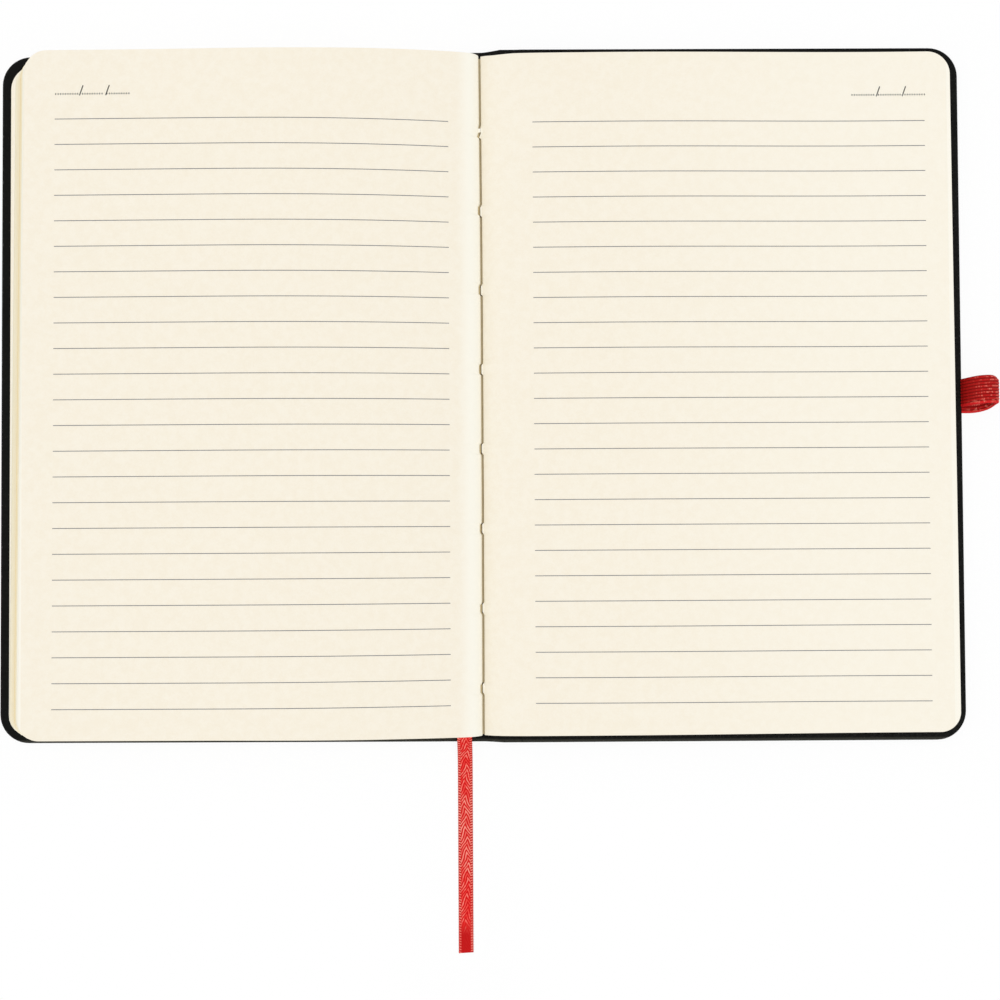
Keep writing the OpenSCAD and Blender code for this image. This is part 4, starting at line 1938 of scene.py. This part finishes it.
@dataclass
class Gutter:
    """Bottom of the fold, and the cut edges that show at the binding slits."""

    block: Block
    floor_steps: Steps = (4, 60)
    floor_half: float = 0.0013
    floor_lift: float = 0.0001
    floor_drop: float = 0.0002
    mark_steps: Steps = (2, 4)
    mark_inset: float = 0.0003
    mark_length: float = 0.0007
    mark_overlap: float = 0.0004
    mark_rise: float = 0.0002
    head_mark_inset: float = 0.0002
    lip_steps: Steps = (5, 10)
    lip_inset: float = 0.0003
    lip_width: float = 0.0006
    lip_ends: float = 0.45
    lip_rise: float = 0.0001
    lip_curl: float = 0.25
    lip_thickness: float = 0.0003
    flap_steps: Steps = (5, 4)
    flap_start: float = -0.0001
    flap_length: float = 0.0012
    flap_overlap: float = 0.0006
    flap_slant: float = 0.0003
    flap_curl: float = 0.0001

    def build(self, palette: Palette) -> list[bpy.types.Object]:
        """Builds the fold's bottom and the slits' cut edges.

        Args:
            palette: The materials.

        Returns:
            The pieces.
        """
        block = self.block
        bottom = Mesh()
        self._floor(bottom)
        half = block.slit_length / 2
        for middle in block.slits:
            end = half - self.mark_inset
            self._mark(bottom, middle - end, middle - end + self.mark_length)
            self._mark(bottom, middle + end - self.mark_length, middle + end)
        head = block.slits[-1]
        self._mark(bottom, head - half + self.head_mark_inset, head - self.head_mark_inset)
        edges = Mesh()
        for middle in block.slits:
            self._cut_edge(edges, middle)
        self._flap(edges, head)
        pieces = [
            bottom.finish("fold_bottom", [palette.fold, palette.shade]),
            edges.finish("slit_edges", [palette.cut]),
        ]
        for piece in pieces:
            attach(piece, BOOK)
        return pieces

    @property
    def level(self) -> float:
        """Level of the bottom of the fold."""
        return self.block.back_z + self.block.gutter_rise - self.block.fold_depth

    def _floor(self, bottom: Mesh) -> None:
        """Adds the strip of paper along the bottom of the fold, coloured darker as painted shade.

        Args:
            bottom: The piece that it joins.
        """
        block = self.block

        def place(across: float, along: float, drop: float) -> Point:
            """Point of the strip.

            Args:
                across: Share of the way across it.
                along: Share of the way along it.
                drop: Drop below the upper face.

            Returns:
                The point.
            """
            y = (along - 0.5) * 2 * block.half
            x = block.fold_place(y) + (across - 0.5) * 2 * self.floor_half
            return x, y, self.level + self.floor_lift - drop

        bottom.add_sheet(
            *self.floor_steps, lambda a, b: place(a, b, 0.0), lambda a, b: place(a, b, self.floor_drop)
        )

    def _mark(self, bottom: Mesh, start: float, end: float) -> None:
        """Adds a stretch of deep shade to the bottom of the fold, where a slit opens further down.

        Args:
            bottom: The piece that it joins.
            start: Y of its start.
            end: Y of its end.
        """
        block = self.block
        width = block.fold_width + self.mark_overlap

        def place(across: float, along: float, rise: float) -> Point:
            """Point of the shade at a rise over the fold's bottom."""
            y = start + (end - start) * along
            return block.fold_shift(y) + (across - 0.5) * width, y, self.level + rise

        bottom.add_sheet(
            *self.mark_steps,
            lambda a, b: place(a, b, self.mark_rise),
            lambda a, b: place(a, b, 0.0),
            wall_material=1,
            face_material=1,
        )

    def _cut_edge(self, edges: Mesh, middle: float) -> None:
        """Adds the pale cut edge that stands up along the right of a slit.

        Args:
            edges: The piece that it joins.
            middle: Y of the middle of the slit.
        """
        block = self.block
        inner = block.fold_width / 2
        length = block.slit_length - 2 * self.lip_inset

        def place(across: float, along: float, drop: float) -> Point:
            """Point of the edge.

            Args:
                across: Share of the way across it.
                along: Share of the way along it.
                drop: Drop below the upper face.

            Returns:
                The point.
            """
            y = middle + (along - 0.5) * length
            width = self.lip_width * (self.lip_ends + (1 - self.lip_ends) * math.sin(math.pi * along))
            x = block.fold_shift(y) + inner + across * width
            rise = self.lip_rise * math.sin(math.pi * (self.lip_curl + (1 - self.lip_curl) * across))
            return x, y, block.right_page(inner + across * width) + rise - drop

        edges.add_sheet(
            *self.lip_steps, lambda a, b: place(a, b, 0.0), lambda a, b: place(a, b, self.lip_thickness)
        )

    def _flap(self, edges: Mesh, middle: float) -> None:
        """Adds the scrap of paper that bridges the slit nearest the head.

        Args:
            edges: The piece that it joins.
            middle: Y of the middle of the slit.
        """
        block = self.block
        width = block.fold_width + self.flap_overlap
        centre = block.fold_place(middle) - block.jog
        top = block.back_z + block.gutter_rise

        def place(across: float, along: float, drop: float) -> Point:
            """Point of the scrap.

            Args:
                across: Share of the way across it.
                along: Share of the way along it.
                drop: Drop below the upper face.

            Returns:
                The point.
            """
            x = centre + (across - 0.5) * width
            y = middle + self.flap_start + along * self.flap_length + self.flap_slant * across
            return x, y, top + self.flap_curl * math.sin(math.pi * across) - drop

        edges.add_sheet(
            *self.flap_steps, lambda a, b: place(a, b, 0.0), lambda a, b: place(a, b, self.lip_thickness)
        )


# The pen loop


@dataclass
class PenLoop:
    """Ribbed elastic folded into a loop: it leaves the cover's edge, turns back and slants a little."""

    reach: float = 0.0106
    height: float = 0.009
    band: float = 0.0086
    thickness: float = 0.0009
    tail: float = 0.006
    hidden: float = 0.18
    slit_z: float = 0.0014
    slit_half: float = 0.0005
    throat: float = 0.55
    middle_z: float = 0.0048
    belly_share: float = 0.45
    roundness: float = 2.4
    upper_y: float = -0.0005
    lower_y: float = -0.0024
    end_y: float = 0.0002
    upper_climb: float = 1.8
    lower_climb: tuple[Pair, ...] = ((0.72, 3), (0.28, 14))
    ribs: int = ElasticFinish.ribs
    rib_depth: float = 0.00014
    rib_fullness: float = 0.6
    stitches: int = ElasticFinish.stitches
    stitch_depth: float = 0.00004
    rows: int = 248
    rib_columns: int = 6
    step: float = 0.002
    head_band: float = 0.22
    head_cut: float = 0.15
    tail_band: float = 0.14
    tail_cut: float = 0.02
    edge_x: float = field(default_factory=lambda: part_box("back_wrap")[1].x)
    tip: Tip = Tip()

    def build(self, palette: Palette) -> bpy.types.Object:
        """Builds the band.

        Args:
            palette: The materials.

        Returns:
            The loop.
        """
        band = Mesh()
        band.add_sheet(
            self.ribs * self.rib_columns,
            self.rows,
            lambda a, b: self._place(a, b, 1.0),
            lambda a, b: self._place(a, b, -1.0),
        )
        piece = band.finish("elastic_loop", [palette.elastic])
        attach(piece, BACK)
        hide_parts("pen_loop")
        return piece

    def _middle(self, along: float) -> Point:
        """Follows the middle of the band.

        Args:
            along: Share of its run, with the fold at the loop's tip half way.

        Returns:
            Distance past the cover's edge, height and Y.
        """
        upper = along < 0.5
        sign = 1 if upper else -1
        start_y = self.upper_y if upper else self.lower_y
        centre = self.slit_z + self.slit_half
        throat = self.slit_half * self.throat
        run = 1 - abs(2 * along - 1)
        if run < self.hidden:
            return -self.tail * (1 - run / self.hidden), centre + sign * throat, start_y
        inset = self.thickness / 2
        end = self.reach - inset
        x = end * math.sin(math.pi / 2 * (run - self.hidden) / (1 - self.hidden))
        belly = self.belly_share * self.reach
        full = self.height / 2 - inset
        if x < belly:
            half = throat + (full - throat) * math.sin(math.pi / 2 * x / belly)
        else:
            half = full * math.sqrt(max(0.0, 1 - ((x - belly) / (end - belly)) ** self.roundness))
        middle = centre + (self.middle_z - centre) * math.sin(math.pi / 2 * min(1.0, x / belly))
        share = x / end
        if upper:
            climb = 1 - (1 - share) ** self.upper_climb
        else:
            climb = sum(part * share**power for part, power in self.lower_climb)
        return x, middle + half * sign, start_y + (self.end_y - start_y) * climb

    def _place(self, across: float, along: float, face: float) -> Point:
        """Point of one face of the band.

        Args:
            across: Share of the way across the band.
            along: Share of its run.
            face: 1 for the outer face and -1 for the inner one.

        Returns:
            The point.
        """
        here = Vector(self._middle(along))
        before = Vector(self._middle(max(0.0, along - self.step)))
        after = Vector(self._middle(min(1.0, along + self.step)))
        heading = (after - before).normalized()
        outwards = Vector((-heading.y, heading.x))
        rib = abs(math.sin(math.pi * across * self.ribs)) ** self.rib_fullness
        stitch = abs(math.sin(math.pi * along * self.stitches))
        shape = self.thickness / 2 - self.rib_depth * (1 - rib) + self.stitch_depth * stitch * rib
        off = outwards * (face * shape)
        head = max(0.0, (across - 1 + self.head_band) / self.head_band)
        tail = max(0.0, (self.tail_band - across) / self.tail_band)
        out = (here.x + off.x) * (1 - self.head_cut * head**2 - self.tail_cut * tail**2)
        return self.tip.place(self.edge_x + out, here.z + (across - 0.5) * self.band, here.y + off.y)


# The leatherette joints


@dataclass
class Joint:
    """Leatherette across the joint between the spine and one cover, over the gap between the CAD's halves.
    """

    side: Side
    reach: float = 0.0012
    fold_reach: float = 0.0031
    groove_z: float = 0.001
    leather: float = 0.0004
    turn_in: float = 0.015
    proud: float = 0.00002
    bend: float = 0.0009
    columns: int = 12
    rows: int = 120
    fold_rows: int = 10
    tip: Tip = Tip()

    @property
    def rise(self) -> float:
        """Height of this joint over the one that lies flat."""
        return self.tip.hinge_lift if self.side is Side.RIGHT else 0.0

    def build(self, palette: Palette) -> bpy.types.Object:
        """Builds the strip across the joint.

        Args:
            palette: The materials.

        Returns:
            The strip.
        """
        low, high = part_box("spine_wrap")
        strip = Mesh()
        groove = self.groove_z + self.rise
        self._layer(strip, (low.y, high.y), groove, self.rows, self.reach)
        for ends in ((low.y, low.y + self.turn_in), (high.y - self.turn_in, high.y)):
            self._layer(strip, ends, groove + self.leather, self.fold_rows, self.fold_reach)
        cover = FRONT if self.side is Side.LEFT else BACK
        piece = strip.finish(f"{cover}_joint_leather", [palette.leatherette])
        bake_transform(piece)
        return piece

    def _layer(self, strip: Mesh, ends: Pair, level: float, rows: int, reach: float) -> None:
        """Adds one layer of leatherette along the joint.

        Args:
            strip: The piece that it joins.
            ends: Y of its two ends.
            level: Height of its underside.
            rows: Steps along it.
            reach: How far it goes to both sides of the hinge line.
        """
        start, end = ends

        def place(across: float, along: float, top: bool) -> Point:
            """Point of the layer's upper or lower face.

            Args:
                across: Share of the way across it.
                along: Share of the way along it.
                top: Whether it is on the upper face.

            Returns:
                The point.
            """
            x = self.side.value * (self.tip.hinge_x + (across - 0.5) * 2 * reach)
            z = level + (self.leather + self.proud if top else -self.proud)
            return x, start + (end - start) * along, z

        strip.add_sheet(self.columns, rows, lambda a, b: place(a, b, True), lambda a, b: place(a, b, False))


# The case and the hidden pieces


class Case:
    """The CAD nodes that keep their own shape and get a finish here."""

    def dress(self, palette: Palette) -> None:
        """Gives every kept CAD node its material.

        Args:
            palette: The materials.
        """
        finishes = {
            "binding_glue": palette.glue,
            "spine_lining": palette.cloth,
            "front_flyleaf": palette.endpaper,
            "back_flyleaf": palette.endpaper,
            "spine_board": palette.board,
            "spine_wrap": palette.leatherette,
            "front_board": palette.board,
            "front_wrap": palette.leatherette,
            "front_pastedown": palette.endpaper,
            "back_board": palette.board,
            "back_wrap": palette.leatherette,
            "back_pastedown": palette.endpaper,
        }
        for name, finish in finishes.items():
            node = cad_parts[name]
            if not node.material_slots:
                node.data.materials.append(finish)
            for slot in node.material_slots:
                slot.material = finish


def main() -> None:
    """Builds the scene in order and reports each piece."""
    logging.basicConfig(level=logging.INFO, format="%(name)s: %(message)s")
    bpy.context.scene.view_settings.view_transform = "Standard"
    studio = Studio()
    studio.add_camera()
    studio.add_light()
    studio.add_floor()
    palette = Palette()
    block = Block()
    left_ruling = Ruling(
        Side.LEFT,
        block,
        first_y=0.08344,
        start_x=-0.1286,
        end_x=-0.0092,
        date_start=-0.1283,
        date_end=-0.1061,
        date_y=0.0911,
        slash_starts=(0.00725, 0.01525),
    )
    right_ruling = Ruling(
        Side.RIGHT,
        block,
        first_y=0.08371,
        start_x=0.0167,
        end_x=0.1380,
        date_start=0.1157,
        date_end=0.1380,
        date_y=0.09185,
        pitch=0.007778,
        drift=0.0,
    )
    pieces = [Ribbon().build(palette), *Sheets(block).build(palette)]
    pieces += [left_ruling.build(palette), right_ruling.build(palette)]
    pieces += Gutter(block).build(palette)
    pieces.append(PenLoop().build(palette))
    pieces += [Joint(side).build(palette) for side in Side]
    Case().dress(palette)
    for piece in pieces:
        log.info("%s: %d faces", piece.name, len(piece.data.polygons))


if __name__ == "__main__":
    main()
